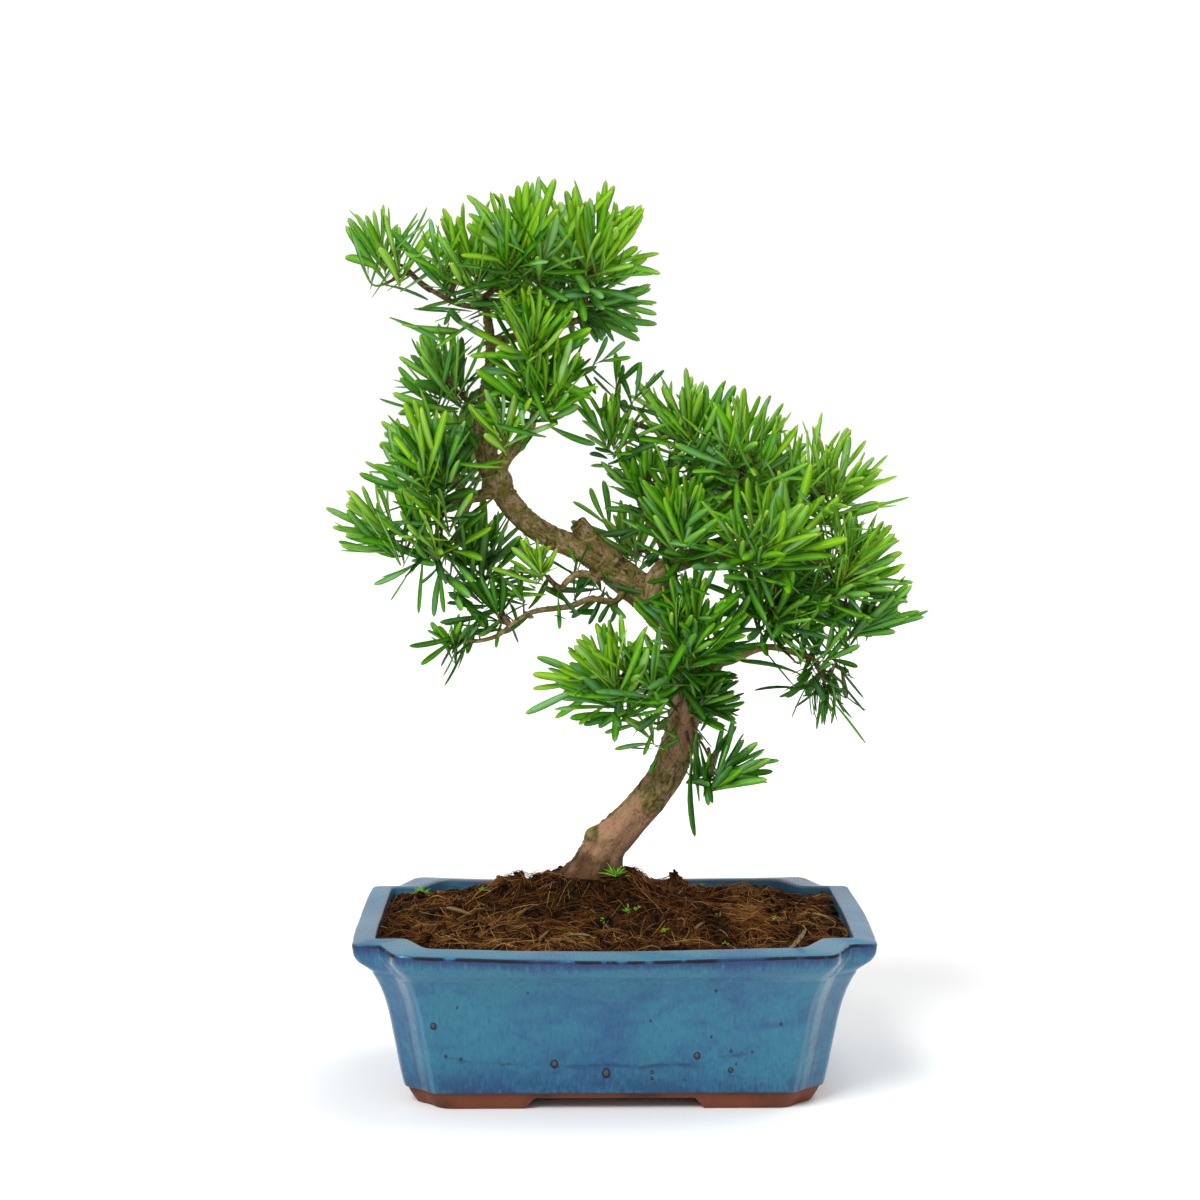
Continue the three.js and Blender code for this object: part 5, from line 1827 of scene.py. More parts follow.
def lump(seed: int) -> tuple[Array, list[tuple[int, ...]]]:
    """The points and faces of a rough crumb of unit size.

    Args:
        seed: Which crumb.

    Returns:
        The points and the faces.
    """
    ball = bmesh.new()
    bmesh.ops.create_icosphere(ball, subdivisions=1, radius=1)
    points = np.array([vertex.co for vertex in ball.verts])
    faces = [tuple(vertex.index for vertex in face.verts) for face in ball.faces]
    ball.free()
    return points * (1 + 0.3 * grain(points * 10, 7, 1, seed + 60))[:, None], faces


# ---------------------------------------------------------------- wood


@dataclass
class Sleeve:
    """The fine skin of one limb, ring by ring, with `grainwise` its place along and round the limb."""

    points: Array
    outward: Array
    grainwise: Array
    axis: Array
    radius: Array
    travel: Array

    @classmethod
    def along(cls, line: Sequence[Row], sides: int, step: float, twist: float = 130) -> Sleeve:
        """Lays rings along a limb.

        Args:
            line: Its (x, y, z, radius) in millimetres.
            sides: How many points a ring has.
            step: The distance between rings.
            twist: The length over which the grain turns by one radian.

        Returns:
            The sleeve.
        """
        knots = np.asarray(line, float)
        dense = np.linspace(0, 1, 60 * len(knots))
        steps = np.linalg.norm(np.diff(smooth_line(knots, dense), axis=0), axis=1)
        travel = np.concatenate([[0], np.cumsum(steps)])
        reach = np.linspace(0, travel[-1], max(6, round(travel[-1] / step)))
        t = np.interp(reach, travel, dense)
        centres = smooth_line(knots, t)
        radius = np.interp(t * (len(knots) - 1), np.arange(len(knots)), knots[:, 3])
        kernel = np.hanning(9)[1:-1] / np.hanning(9)[1:-1].sum()
        radius = np.convolve(np.pad(radius, 3, mode="edge"), kernel, mode="valid")
        tangents = unit(np.gradient(centres, axis=0))
        across = np.array([0.0, 1.0, 0.0])
        if np.linalg.norm(np.cross(across, tangents[0])) < 0.25:
            across = np.array([1.0, 0.0, 0.0])
        frames = []
        for tangent in tangents:
            across = unit(across - tangent * across.dot(tangent))
            frames.append((across, np.cross(tangent, across)))
        turn = np.arange(sides) * 2 * math.pi / sides
        side, other = np.array(frames).transpose(1, 0, 2)[:, :, None]
        outward = np.cos(turn)[None, :, None] * side + np.sin(turn)[None, :, None] * other
        spun = turn[None] + reach[:, None] / twist
        wide = radius[:, None]
        length = np.broadcast_to(reach[:, None], spun.shape)
        grainwise = np.stack([np.cos(spun) * wide, np.sin(spun) * wide, length], -1)
        points = centres[:, None] + outward * wide[..., None]
        return cls(points, outward, grainwise, tangents[-1], radius, reach)


@dataclass(frozen=True)
class BarkRelief:
    """How deep the bark's features are, in millimetres, for a limb of full roughness."""

    ridge: float = 0.42
    plate: float = 0.34
    crack: float = 0.36
    swell: float = 0.1
    flute: float = 0.075
    full_girth: float = 9

    def carve(self, sleeve: Sleeve, rough: Array, seed: int) -> tuple[Array, Array]:
        """Carves a sleeve.

        Args:
            sleeve: The limb's skin.
            rough: How rough the bark is at each point, from 0 to 1.
            seed: The seed of its features.

        Returns:
            How far each point is moved outwards, and how deep in a crack it is, from 0 to 1.
        """
        spot, radius = sleeve.grainwise, sleeve.radius[:, None]
        girth = np.minimum(radius / self.full_girth, 1)
        swell = self.swell * radius * grain(spot, (9, 9, 26), 2, seed)
        flute = self.flute * radius * grain(spot, (6, 6, 120), 1, seed + 3)
        ridge = self.ridge * girth * (0.4 + 0.6 * rough) * grain(spot, (2.6, 2.6, 6), 3, seed + 7)
        plates = smoothstep(-0.05, 0.18, grain(spot, (4.2, 4.2, 7), 2, seed + 11))
        line = np.abs(grain(spot, (5.2, 5.2, 15), 2, seed + 19))
        crack = (1 - smoothstep(0.015, 0.09, line)) * smoothstep(0.35, 0.85, rough)
        across = (1 - smoothstep(0.02, 0.1, np.abs(grain(spot, (7, 7, 4.5), 2, seed + 23)))) * rough * 0.6
        cut = np.maximum(crack, across)
        return swell + flute + ridge + self.plate * girth * rough * plates - self.crack * girth * cut, cut


# A limb's finished skin: its points, its places in the grain, how rough it is and how deep in cracks.
Skin = tuple[Array, Array, Array, Array]


@dataclass(frozen=True)
class Wood(Maker):
    """The trunk and its boughs, with their bark.

    A root's way is its angle and how much it swells the trunk's foot, a surface root its angle, its reach and
    its radius, and the knob its middle and its half sizes.
    """

    relief: BarkRelief = BarkRelief()
    root_ways: tuple[Span, ...] = ((262, 0.2), (335, 0.5), (70, 0.25), (15, 0.5))
    root_level: float = 122
    root_width: float = 27
    flare_top: float = 190
    roots: tuple[Spot, ...] = ((262, 15, 4.6), (338, 21, 4.6), (12, 20, 4.4), (70, 17, 4.8))
    root_line: tuple[Spot, ...] = ((0.1, 9, 0.8), (0.6, 0, 1), (1, -4, 0.75), (1.35, -8, 0.5))
    seat: Span = (-13, 14)
    knob: tuple[Spot, Spot] = ((-13, 11, 148), (6.2, 5.2, 4.7))
    stub: str = "cut_stub"
    stub_rings: tuple[Spot, ...] = (
        (0.96, 0.9, 0.2), (0.86, 1.5, 0.3), (0.7, 1.4, 0.7), (0.54, 0.2, 1), (0.4, -2.4, 1), (0.22, -4, 1),
    )

    def roughness(self, points: Array, seed: int = 31) -> Array:
        """How much the bark flakes: in patches low on the trunk and all over higher up.

        Args:
            points: Points on the bark.
            seed: Which patches.

        Returns:
            The share for each point, 1 where it flakes all over.
        """
        patches = smoothstep(0.0, 0.45, grain(points, (15, 15, 21), 2, seed))
        high = smoothstep(252, 292, points[..., 2])
        return np.clip(0.12 + 0.7 * patches * (1 - high) + high * (0.72 + 0.28 * patches), 0, 1)

    def trunk(self) -> Piece:
        """Makes the trunk as one line, with its root flare and the knob at its foot.

        Returns:
            The piece.
        """
        lower, middle, top = (LIMBS[name].line for name in TRUNK)
        sleeve = Sleeve.along([*lower[:-1], *middle[1:], *top[1:]], 96, 1.25)
        height = sleeve.points[..., 2]
        rough = self.roughness(sleeve.points)
        shift, crack = self.relief.carve(sleeve, rough, 41)
        way = np.degrees(np.arctan2(sleeve.outward[..., 1], sleeve.outward[..., 0]))
        low = np.clip(np.exp(-(height - self.root_level) / 8.5), 0, 1.4)
        flare = np.zeros(shift.shape)
        for turn, reach in self.root_ways:
            flare += reach * np.exp(-((((way - turn + 180) % 360 - 180) / self.root_width) ** 2))
        flare = sleeve.radius[:, None] * low * (0.02 + flare)
        points = sleeve.points + sleeve.outward * (shift + flare * (height < self.flare_top))[..., None]
        centre, half = np.array(self.knob)
        near = np.linalg.norm((points - centre) / (half * 1.25), axis=-1)
        points = points + sleeve.outward * (3.4 * np.exp(-(near**2) * 1.6))[..., None]
        rough = np.maximum(rough, smoothstep(1.3, 0.6, near))
        crack = np.maximum(crack, 0.55 * np.exp(-((near - 0.75) ** 2) / 0.03))
        return self._joined("bark_trunk", [(points, sleeve.grainwise, rough, crack)])

    @staticmethod
    def _collar(name: str, sleeve: Sleeve) -> Array:
        """How much wider a bough is near its parent, as a share of its radius.

        Args:
            name: The bough.
            sleeve: Its skin as a smooth tube.

        Returns:
            The share at each place along it.
        """
        parent = np.array(LIMBS[LIMBS[name].parent].line)
        dense = np.linspace(0, 1, 200)
        radii = np.interp(dense, np.linspace(0, 1, len(parent)), parent[:, 3])
        away = smooth_line(parent, dense) - sleeve.points.mean(axis=1)[0]
        nearest = int(np.argmin(np.linalg.norm(away, axis=1)))
        inside = max(0.0, radii[nearest] - float(np.linalg.norm(away[nearest])))
        beyond = np.maximum(sleeve.travel - inside, 0)
        return 0.6 * np.exp(-beyond / (2.2 + 0.7 * sleeve.radius[0]))

    def boughs(self) -> Piece:
        """Makes every bough, the hollow stub and the surface roots.

        Returns:
            The piece.
        """
        skins: list[Skin] = []
        for number, (name, limb) in enumerate(LIMBS.items()):
            if name in TRUNK:
                continue
            girth = max(row[3] for row in limb.line)
            sleeve = Sleeve.along(limb.line, int(min(max(14, girth * 7), 56)), 1.3 if girth > 3 else 1.6)
            radius = sleeve.radius[:, None]
            rough = np.clip(0.35 + 0.65 * self.roughness(sleeve.points), 0, 1)
            shift, crack = self.relief.carve(sleeve, rough, 50 + 7 * number)
            shift = shift + radius * self._collar(name, sleeve)[:, None]
            nodes = 0.16 * radius * np.maximum(grain(sleeve.grainwise, (60, 60, 7), 1, number), 0)
            points = sleeve.points + sleeve.outward * (shift + nodes)[..., None]
            skin = points, sleeve.grainwise, rough, crack
            skins.append(self._hollowed(sleeve, *skin) if name == self.stub else skin)
        for number, (turn, reach, radius) in enumerate(self.roots):
            way = direction(math.radians(turn), 0)
            spot = np.array([*self.seat, self.root_level + 1])
            line = [(*(spot + way * reach * out + UP * up), radius * thick)
                    for out, up, thick in self.root_line]
            sleeve = Sleeve.along(line, 36, 1.0)
            rough = self.roughness(sleeve.points)
            shift, crack = self.relief.carve(sleeve, rough, 400 + number)
            skins.append((sleeve.points + sleeve.outward * shift[..., None], sleeve.grainwise, rough, crack))
        return self._joined("bark_boughs", skins)

    def _hollowed(self, sleeve: Sleeve, points: Array, fibre: Array, rough: Array, crack: Array) -> Skin:
        """Breaks a limb's end off ragged and hollows it out.

        Args:
            sleeve: The limb's skin as a smooth tube.
            points: The skin's points.
            fibre: Their places along the grain.
            rough: How much each flakes.
            crack: How deep each lies in a crack.

        Returns:
            The skin with its ragged end.
        """
        centre = points[-1].mean(axis=0)
        last = points[-1] - centre
        jag = 0.7 * grain(fibre[-1] * (1, 1, 0), 3.2, 2, 91) + 0.4
        split = np.exp(-((sleeve.outward[-1] @ unit(np.array([-0.35, -0.9, -0.2])) - 1) ** 2) / 0.05)
        rings = []
        for size, deep, _ in self.stub_rings:
            rim = (jag - 1.4 * split) * smoothstep(0.5, 0.85, size)
            rings.append(centre + last * size + sleeve.axis * (deep + rim)[:, None])
        back = np.exp(-((sleeve.travel[-1] - sleeve.travel) / 4.0))[:, None] * split[None] * 0.9
        points = np.concatenate([points - sleeve.outward * back[..., None], rings])
        crack = np.maximum(crack, back)
        hollow = np.repeat([[dark] for _, _, dark in self.stub_rings], crack.shape[1], 1)
        fibre, rough = (
            np.concatenate([values, np.repeat(values[-1:], len(rings), axis=0)]) for values in (fibre, rough)
        )
        return points, fibre, rough, np.concatenate([crack, hollow])

    def _joined(self, name: str, skins: Sequence[Skin]) -> Piece:
        """Joins limbs' skins into one closed piece with the bark's attributes.

        Args:
            name: The piece's name.
            skins: The limbs' skins.

        Returns:
            The piece.
        """
        places, faces, fibres, roughs, cracks = [], [], [], [], []
        for number, (skin, fibre, rough, crack) in enumerate(skins):
            faces += ring_faces(*skin.shape[:2], sum(map(len, places)) + 1, caps=True)
            low, high = skin[0].mean(axis=0), skin[-1].mean(axis=0)
            places.append(np.vstack([low, skin.reshape(-1, 3), high]))
            fibres.append(capped(fibre.reshape(-1, 3) + np.array([0, 0, 700.0 * number])))
            roughs.append(capped(rough.ravel()))
            cracks.append(capped(crack.ravel()))
        piece = new_piece(name, self.layout.place(np.vstack(places)), faces)
        store(piece, rough=np.concatenate(roughs), crack=np.concatenate(cracks), fibre=np.vstack(fibres) * MM)
        return Bark().dress(piece)

    def flakes(self, *woods: tuple[Piece, int, float]) -> Piece:
        """Makes loose plates on the rough bark of pieces.

        Args:
            *woods: Each piece, how many plates it gets and their size.

        Returns:
            The piece.
        """
        stream = Stream(640)
        rows = []
        for piece, wanted, scale in woods:
            vertices, rough = piece.data.vertices, stored(piece, "rough")
            found = 0
            while found < wanted:
                number = int(stream.next() * len(vertices))
                vertex = vertices[number]
                if rough[number] < 0.35 + 0.5 * stream.next() or vertex.co.z < 0.13:
                    continue
                found += 1
                out = np.array(vertex.normal)
                along = unit(np.cross(out, unit(stream.vector(*ALL_WAYS))))
                size = stream.between(0.5, 1.5) * scale
                tilt = unit(out + 0.25 * along * stream.between(-1, 1))
                shape = np.array([size * stream.between(0.6, 1.0), size * stream.between(1.0, 2.2), 0.5]) * MM
                spot = np.array(vertex.co) + out * 0.0002
                rows.append((spot, along, tilt, shape, int(stream.next() * 3), stream.next()))
        points, faces = dome(7, 1)
        shapes = [
            (points * (1 + 0.28 * grain(points * 10, 6, 1, seed + 5))[:, None] * (1, 1, 0.8), faces)
            for seed in range(3)
        ]
        made = self.scattered("bark_flakes", rows, shapes, Bark())
        count = len(made.data.vertices)
        store(made, rough=np.full(count, 0.85), crack=np.zeros(count), fibre=stored(made, "position"))
        return made

    def build(self) -> None:
        """Makes the wood's pieces."""
        trunk, boughs = self.trunk(), self.boughs()
        flakes = self.flakes((trunk, 620, 1), (boughs, 300, 0.6))
        hand_over("bark", [trunk], *TRUNK)
        hand_over("bark", [boughs], *BOUGHS)
        hand_over("bark", [flakes])


def capped(values: Array) -> Array:
    """Values with the first and the last once more, for the points that close a skin's ends."""
    return np.concatenate([values[:1], values, values[-1:]])


# ---------------------------------------------------------------- foliage


@dataclass(frozen=True)
class Twigs:
    """The lines of a mass: its stem and where each twig that leaves it starts and ends."""

    stem: Array
    twigs: tuple[tuple[Array, Array], ...]


@dataclass(frozen=True)
class Spray:
    """One shoot with its leaves: where its twig starts and ends, which way it points, its tone and its size.

    A sprig's shoot has a number of `leaves`, and they may go beyond the masses.
    """

    start: Array
    tip: Array
    axis: Array
    tone: Tone
    scale: float
    leaves: int = 0


@dataclass(frozen=True)
class Sprig:
    """A small shoot that a limb bears between the masses, with its lean and how many leaves it has."""

    on: str
    at: float
    tip: Spot
    lean: Spot
    leaves: int
    scale: float
    tone: Tone = Tone.DARK

    def spray(self) -> Spray:
        """The sprig as a shoot.

        Returns:
            The shoot.
        """
        start = smooth_line(LIMBS[self.on].line, self.at)
        tip, axis = np.array(self.tip, float), unit(np.array(self.lean, float))
        return Spray(start, tip, axis, self.tone, self.scale, self.leaves)


SPRIGS = tuple(Sprig(*row) for row in (
    ("bough_curl", 0.9, (-33, -19, 296), (0.15, -0.2, -1), 2, 0.62),
    ("bough_curl", 0.5, (-22, -8, 314), (-0.2, 0.2, 1), 4, 0.5),
    ("bough_low_left", 0.12, (-12, 0, 302), (-0.7, 0.3, 0.5), 10, 0.66),
    ("bough_low_left", 0.2, (-3, -4, 296), (0.3, -0.1, -0.9), 6, 0.6),
    ("bough_low_left", 0.34, (-22, -6, 298), (0.3, 0.3, 0.8), 8, 0.62),
    ("bough_low_left", 0.55, (-56, -13, 298), (-0.5, -0.2, 0.9), 9, 0.6, Tone.MATURE),
    ("bough_low_left", 0.62, (-66, -14, 283), (-0.3, -0.2, -0.8), 6, 0.5),
    ("bough_low_left", 0.85, (-84, -19, 280), (-0.6, -0.2, -0.7), 6, 0.5),
    ("bough_low_left", 1.0, (-95, -30, 272), (-0.9, -0.3, -0.6), 4, 0.86),
    ("bough_low_left", 0.97, (-92, -31, 271), (-0.45, -0.3, -0.95), 3, 0.66),
    ("bough_left_drop", 0.95, (-120, -14, 314), (-0.8, -0.3, -0.7), 7, 0.85, Tone.MATURE),
    ("bough_left_drop", 0.8, (-103, -14, 312), (-0.2, -0.3, -1), 6, 0.8),
    ("trunk_lower", 0.68, (16, -25, 222), (-0.8, -0.4, 0.3), 9, 0.56, Tone.YOUNG),
    ("trunk_lower", 0.62, (22, -24, 212), (-0.4, -0.6, 0.9), 9, 0.5, Tone.FRESH),
    ("trunk_lower", 0.76, (-19, -32, 247), (-1, -0.1, 0.08), 9, 0.96, Tone.FRESH),
    ("trunk_lower", 0.62, (46, -24, 185), (-0.08, -0.1, -1), 1, 1.05),
    ("trunk_lower", 0.66, (54, -20, 196), (0.2, -0.1, -1), 2, 0.8),
    ("bough_upper_link", 0.92, (2, -6, 424), (0.1, -0.2, 1), 9, 0.55),
    ("bough_upper_link", 0.8, (14, -8, 416), (0.5, -0.2, 0.8), 9, 0.55),
    ("bough_fork", 0.9, (-6, -12, 437), (0.6, -0.2, 0.3), 5, 0.5, Tone.MATURE),
    ("bough_low_right", 1.0, (139, -8, 230), (0.95, -0.05, -0.62), 1, 1.0, Tone.MATURE),
    ("bough_low_right", 0.75, (112, -14, 258), (-0.1, -0.2, 1), 11, 0.8, Tone.MATURE),
    ("bough_low_right", 0.85, (127, -14, 260), (0.4, -0.2, 0.9), 9, 0.7, Tone.MATURE),
    ("bough_right", 0.5, (46, -30, 292), (-0.2, -0.4, 1), 13, 0.8, Tone.MATURE),
    ("bough_right", 0.25, (-4, 22, 338), (-0.5, 0.1, 1), 7, 0.66, Tone.MATURE),
))

# How large the leaves of some masses are, which way their shoots fan out, what is filled by those that end
# short of their solid, as a middle and half sizes, and how few shoots some have.
LEAF_SCALE: dict[str, float] = {
    "low_left_leaves": 0.62, "low_left_tip": 0.46, "curl_sprig": 0.56, "right_droop": 0.66, "neck_low": 0.8,
    "lower_right": 0.74, "crown_lower_right": 0.86, "link_sprig": 0.92, "stub_back": 0.8, "lower_foot": 0.9,
}
FANS: dict[str, Spot] = {
    "crown_left_spray": (-0.1, 0, 3), "right_corner": (1.2, 0, 0.6), "stub_back": (-0.8, 0.1, 1),
    "lower_foot": (1, -0.3, 0.4), "low_left_tip": (-0.45, -0.2, 1), "left_outer": (-0.8, -0.15, 0.5),
    "front_spray": (-0.9, -0.3, 0.9),
}
FILLED: dict[str, tuple[Spot, Spot]] = {
    "crown_left_spray": ((-135, -6, 516), (26, 22, 20)),
    "right_outer": ((145, -6, 322), (34, 36, 37)),
    "right_corner": ((162, 2, 291), (33, 26, 15)),
    "lower_foot": ((70, -14, 201), (32, 28, 18)),
    "lower_right": ((63, -10, 239), (18, 22, 16)),
    "low_left_tip": ((-91, -24, 279), (19, 16, 12)),
    "neck_front": ((-41, -32, 428), (28, 28, 30)),
    "link_sprig": ((-3, -2, 411), (16, 18, 18)),
}
THINNED: dict[str, float] = {
    "lower_foot": 0.6, "lower_right": 0.5, "left_shoulder": 0.8, "right_edge": 0.7, "right_droop": 0.5,
    "link_sprig": 0.6, "front_spray": 0.8, "low_left_tip": 1.6, "left_outer": 0.9,
}


def filled(name: str) -> Array:
    """The middle and the half sizes of what a mass's leaves fill."""
    return np.array(FILLED.get(name, (MASSES[name].centre, MASSES[name].half)), float)


@dataclass(frozen=True)
class LeafShape:
    """The outline of a strap leaf of unit length and width, and how it is bent.

    A station is how far along the leaf it is and how wide the leaf is there.
    """

    rise: float
    sweep: float
    curl: float = 0.0
    stations: tuple[Span, ...] = (
        (0.0, 0.24), (0.14, 0.44), (0.34, 0.74), (0.54, 0.95), (0.72, 1.0), (0.87, 0.88), (0.96, 0.56),
    )
    fold: float = 0.02
    keel: float = 0.008

    def mesh(self) -> tuple[Array, list[tuple[int, ...]], Array]:
        """The leaf's points, its faces, and the place on the leaf map of each face's corners.

        Returns:
            The points, the faces and the places.
        """
        points, across = [], []
        for v, width in self.stations:
            bend, twist = self.rise * v * v, self.curl * v
            top, low = -self.fold * width, -(self.fold + self.keel) * width
            for side, drop in ((-0.5, 0.0), (0.0, top), (0.5, 0.0), (0.0, low)):
                x = side * width * (1 - 0.5 * abs(self.curl) * v) + self.sweep * 4 * v * v
                points.append((x, v, bend + drop + twist * side * width * 0.22))
            across += [(-1, v), (0, v), (1, v), (0, v)]
        last = len(points)
        points.append((self.sweep * 4, 1.0, self.rise))
        across.append((0, 1))
        faces = []
        for level in range(0, last - 4, 4):
            corners = [(level + a, level + b) for a, b in ((0, 1), (1, 2), (2, 3), (3, 0))]
            faces += [(a, b, b + 4, a + 4) for a, b in corners]
        left, top, right, low = range(last - 4, last)
        faces += [(left, top, last), (top, right, last), (right, low, last), (low, left, last), (0, 3, 2, 1)]
        under = [number % 4 > 1 for number in range(len(faces) - 1)] + [True]
        places = [(across[i][0] + 4 * below, across[i][1]) for face, below in zip(faces, under) for i in face]
        return np.array(points, float), faces, np.array(places, float)


BLADES = (
    LeafShape(0.02, 0.0), LeafShape(0.13, 0.1), LeafShape(-0.08, -0.12), LeafShape(-0.2, 0.18),
    LeafShape(0.2, -0.16), LeafShape(0.0, 0.24), LeafShape(-0.27, -0.08), LeafShape(0.08, -0.26),
)
CURLED = (LeafShape(-0.3, 0.1, 1.0), LeafShape(0.28, -0.12, -1.1), LeafShape(-0.12, 0.05, 0.7))


@dataclass(frozen=True)
class Foliage(Maker):
    """Boughlets, twigs and leaves, grown by the same rule as the solids and carried to finer twigs."""

    crown: float = 0.62
    below: float = 0.2
    sag: float = 2.5
    whorl: float = 0.45
    rise: float = 0.2
    side_rise: float = -0.14
    aside: float = 0.5
    vary: float = 0.15
    sidelong: Spot = (1, 0.5, 1)
    outwards: float = 0.62
    leaning: float = 0.72
    leaf_length: float = 45
    leaf_width: float = 5.3
    shortest: float = 15
    reach: float = 1.05
    unbound: float = 9.0
    withered: float = 0.005
    spacing: float = 262
    woody_points: int = 6

    def growth(self, mass: Mass, stream: Stream) -> Twigs:
        """The stem and main twigs of a mass, the same as the solids'.

        Args:
            mass: The mass.
            stream: The numbers of its seed.

        Returns:
            The stem and the twigs.
        """
        centre, half = np.array(mass.centre, float), np.array(mass.half, float)
        lean = unit(np.array(mass.lean, float))
        start = smooth_line(LIMBS[mass.on].line, mass.at)
        crown = start + (centre - start) * self.crown - lean * half * self.below
        bend = (start + crown) / 2 - np.array([0, 0, self.sag])
        turned = Vector((0, 0, 1)).rotation_difference(Vector(lean))
        phase = stream.turn()
        twigs = []
        for i in range(mass.shoots):
            turn = phase + i * math.pi * 2 / max(mass.shoots - 1, 1)
            sideways = np.array(turned @ Vector((math.cos(turn), math.sin(turn), 0)))
            aside = self.aside * (1 - self.vary + 2 * self.vary * stream.next()) if i > 0 else 0
            rise = self.side_rise if i > 0 else self.rise
            tip = centre + lean * half * rise + sideways * half * aside
            twigs.append((bowed(start, bend, crown, 1 - self.whorl * i / mass.shoots), tip))
        stem = np.array([bowed(start, bend, crown, t) for t in np.linspace(0, 1, 8)])
        return Twigs(stem, tuple(twigs))

    def sprays(self, name: str, twigs: Twigs, stream: Stream) -> list[Spray]:
        """The shoots of a mass: one on each main twig and finer ones round it.

        Args:
            name: The mass.
            twigs: Its main lines.
            stream: Where its numbers come from.

        Returns:
            The shoots.
        """
        centre, half = filled(name)
        lean = unit(np.array(MASSES[name].lean, float))
        made = [self._spray(name, start, tip, stream) for start, tip in twigs.twigs]
        bulk = float(np.prod(half)) ** (1 / 3)
        count = max(2, round(bulk**2 / self.spacing * THINNED.get(name, 1)))
        turn = stream.turn()
        for k in range(count):
            z = 1 - 2 * (k + 0.5) / count
            radius, way = math.sqrt(1 - z * z), turn + k * GOLDEN
            out = np.array([radius * math.cos(way), radius * math.sin(way), z])
            if out @ lean < -0.4:
                out = unit(out + lean * 1.2)
            tip = centre + out * half * stream.between(0.3, 0.72)
            near = min(twigs.twigs, key=lambda pair: float(np.linalg.norm(pair[1] - tip)))
            start = near[0] + (near[1] - near[0]) * stream.between(0.1, 0.6)
            made.append(self._spray(name, start, tip, stream))
        return made

    def _spray(self, name: str, start: Array, tip: Array, stream: Stream) -> Spray:
        """One shoot, which turns from its twig towards the light and out of the mass.

        Its tip lies so far back that leaves of full length just reach the edge of the mass.

        Args:
            name: The mass's name.
            start: Where it leaves its twig.
            tip: Where it would end at full length.
            stream: The numbers that vary it.

        Returns:
            The shoot.
        """
        mass = MASSES[name]
        centre, half = filled(name)
        fan = np.array(FANS.get(name, mass.lean), float)
        lean, strength = unit(fan), float(np.linalg.norm(fan)) if name in FANS else 1
        out = (tip - centre) / half
        lift = 0.28 + 0.5 * min(max(fan[2], -0.8), 1)
        jitter = stream.vector(*ALL_WAYS)
        push = out * self.outwards + lean * self.leaning * strength
        axis = unit(push * self.sidelong + UP * lift + jitter * 0.24)
        # Sprays high in the mass, out along its lean and towards the front take a younger, lighter tone, the
        # rest an older, darker one: partly the young growth at the outside, partly painted light from the top
        # and front and painted shade below and behind.
        high = out[2] * 0.9 + (out @ lean) * 0.4 + stream.between(-0.45, 0.45) - 0.25 * out[1]
        older = -1 if high > 0.4 else int(high < -0.16)
        scale = stream.between(0.86, 1.1) * LEAF_SCALE.get(name, 1)
        slope, edge = axis / half, self.reach * stream.between(0.84, 1.08)
        a, b, c = slope @ slope, slope @ out, out @ out - edge**2
        room = (-b + math.sqrt(max(b * b - a * c, 0))) / a
        tip = tip - axis * min(max(0.93 * self.leaf_length * scale - room, 0), 34)
        if np.linalg.norm(tip - start) < 5:
            start = tip - unit(axis + 0.6 * unit(centre - start)) * 7
        return Spray(start, tip, axis, mass.tone.aged(older), scale)

    def leaves(self, spray: Spray, stream: Stream, room: Room) -> Iterator[tuple[Tone, tuple]]:
        """The leaves of a shoot: a shuttlecock of young ones at its tip and older ones that spread below it.

        Args:
            spray: Their shoot.
            stream: Where their numbers come from.
            room: What they keep inside and clear of.

        Yields:
            Each leaf's tone and its row for the scatterer.
        """
        axis = spray.axis
        side = unit(np.cross(axis, np.array([1.0, 0, 0]) if abs(axis[2]) > 0.9 else UP))
        other = np.cross(axis, side)
        phase = stream.turn()
        older, younger = map(int, stream.vector((3, 6), (8, 13)))
        if spray.leaves:
            older, younger = spray.leaves // 3, spray.leaves - spray.leaves // 3
        shortest = self.shortest * min(spray.scale, 1.0)
        spread = min(spray.leaves / 6, 1) if spray.leaves else 1
        for k in range(older + younger):
            young = k >= older
            share = (k - older) / max(younger - 1, 1) if young else k / older
            turn = phase + k * GOLDEN + stream.between(-0.25, 0.25)
            out = side * math.cos(turn) + other * math.sin(turn)
            full = self.leaf_length * spray.scale
            if young:
                tilt = math.radians(60 - 47 * share**0.9) * stream.between(0.8, 1.18) * spread
                back = 14 * (1 - share)
                full *= 1.03 - 0.28 * share**3
            else:
                tilt = math.radians(88 - 26 * share) * stream.between(0.8, 1.12) * spread
                back = 29 - 16 * share
                full *= 0.8 + 0.14 * share
            full *= stream.between(0.8, 1.08)
            along = axis * math.cos(tilt) + out * math.sin(tilt)
            along = unit(along - UP * stream.between(0.02, 0.2) * (1 if young else 2.2))
            root = spray.tip - axis * back * spray.scale
            width = self.leaf_width * (0.4 + 0.6 * full / self.leaf_length) * stream.between(0.76, 1.16)
            jitter = stream.vector(*ALL_WAYS)
            face = axis * 0.4 + UP * 0.3 + unit(root * (0.4, 2.5, 0)) * 0.75 + jitter * 0.6
            face = unit(face - along * (face @ along))
            pick, tint, fate, edge = stream.vector((0, 1), (0, 1), (0, 1), (-0.1, 0.14))
            limit = self.unbound if spray.leaves else self.reach + edge
            length = full
            while length >= shortest and not room.holds(root, along * length, limit):
                length -= 3
            if length < shortest:
                continue
            tone = spray.tone.aged(-1 if share > 0.6 and young else int(not young))
            shapes = BLADES
            if fate < self.withered * (0.4 if young else 3):
                tone, shapes = Tone.WITHERED, CURLED
                width, length = 0.75 * width, min(length, 0.75 * full)
            size = np.array([width, length, length]) * MM
            yield tone, (self.layout.place(root), along, face, size, int(pick * len(shapes)), tint)

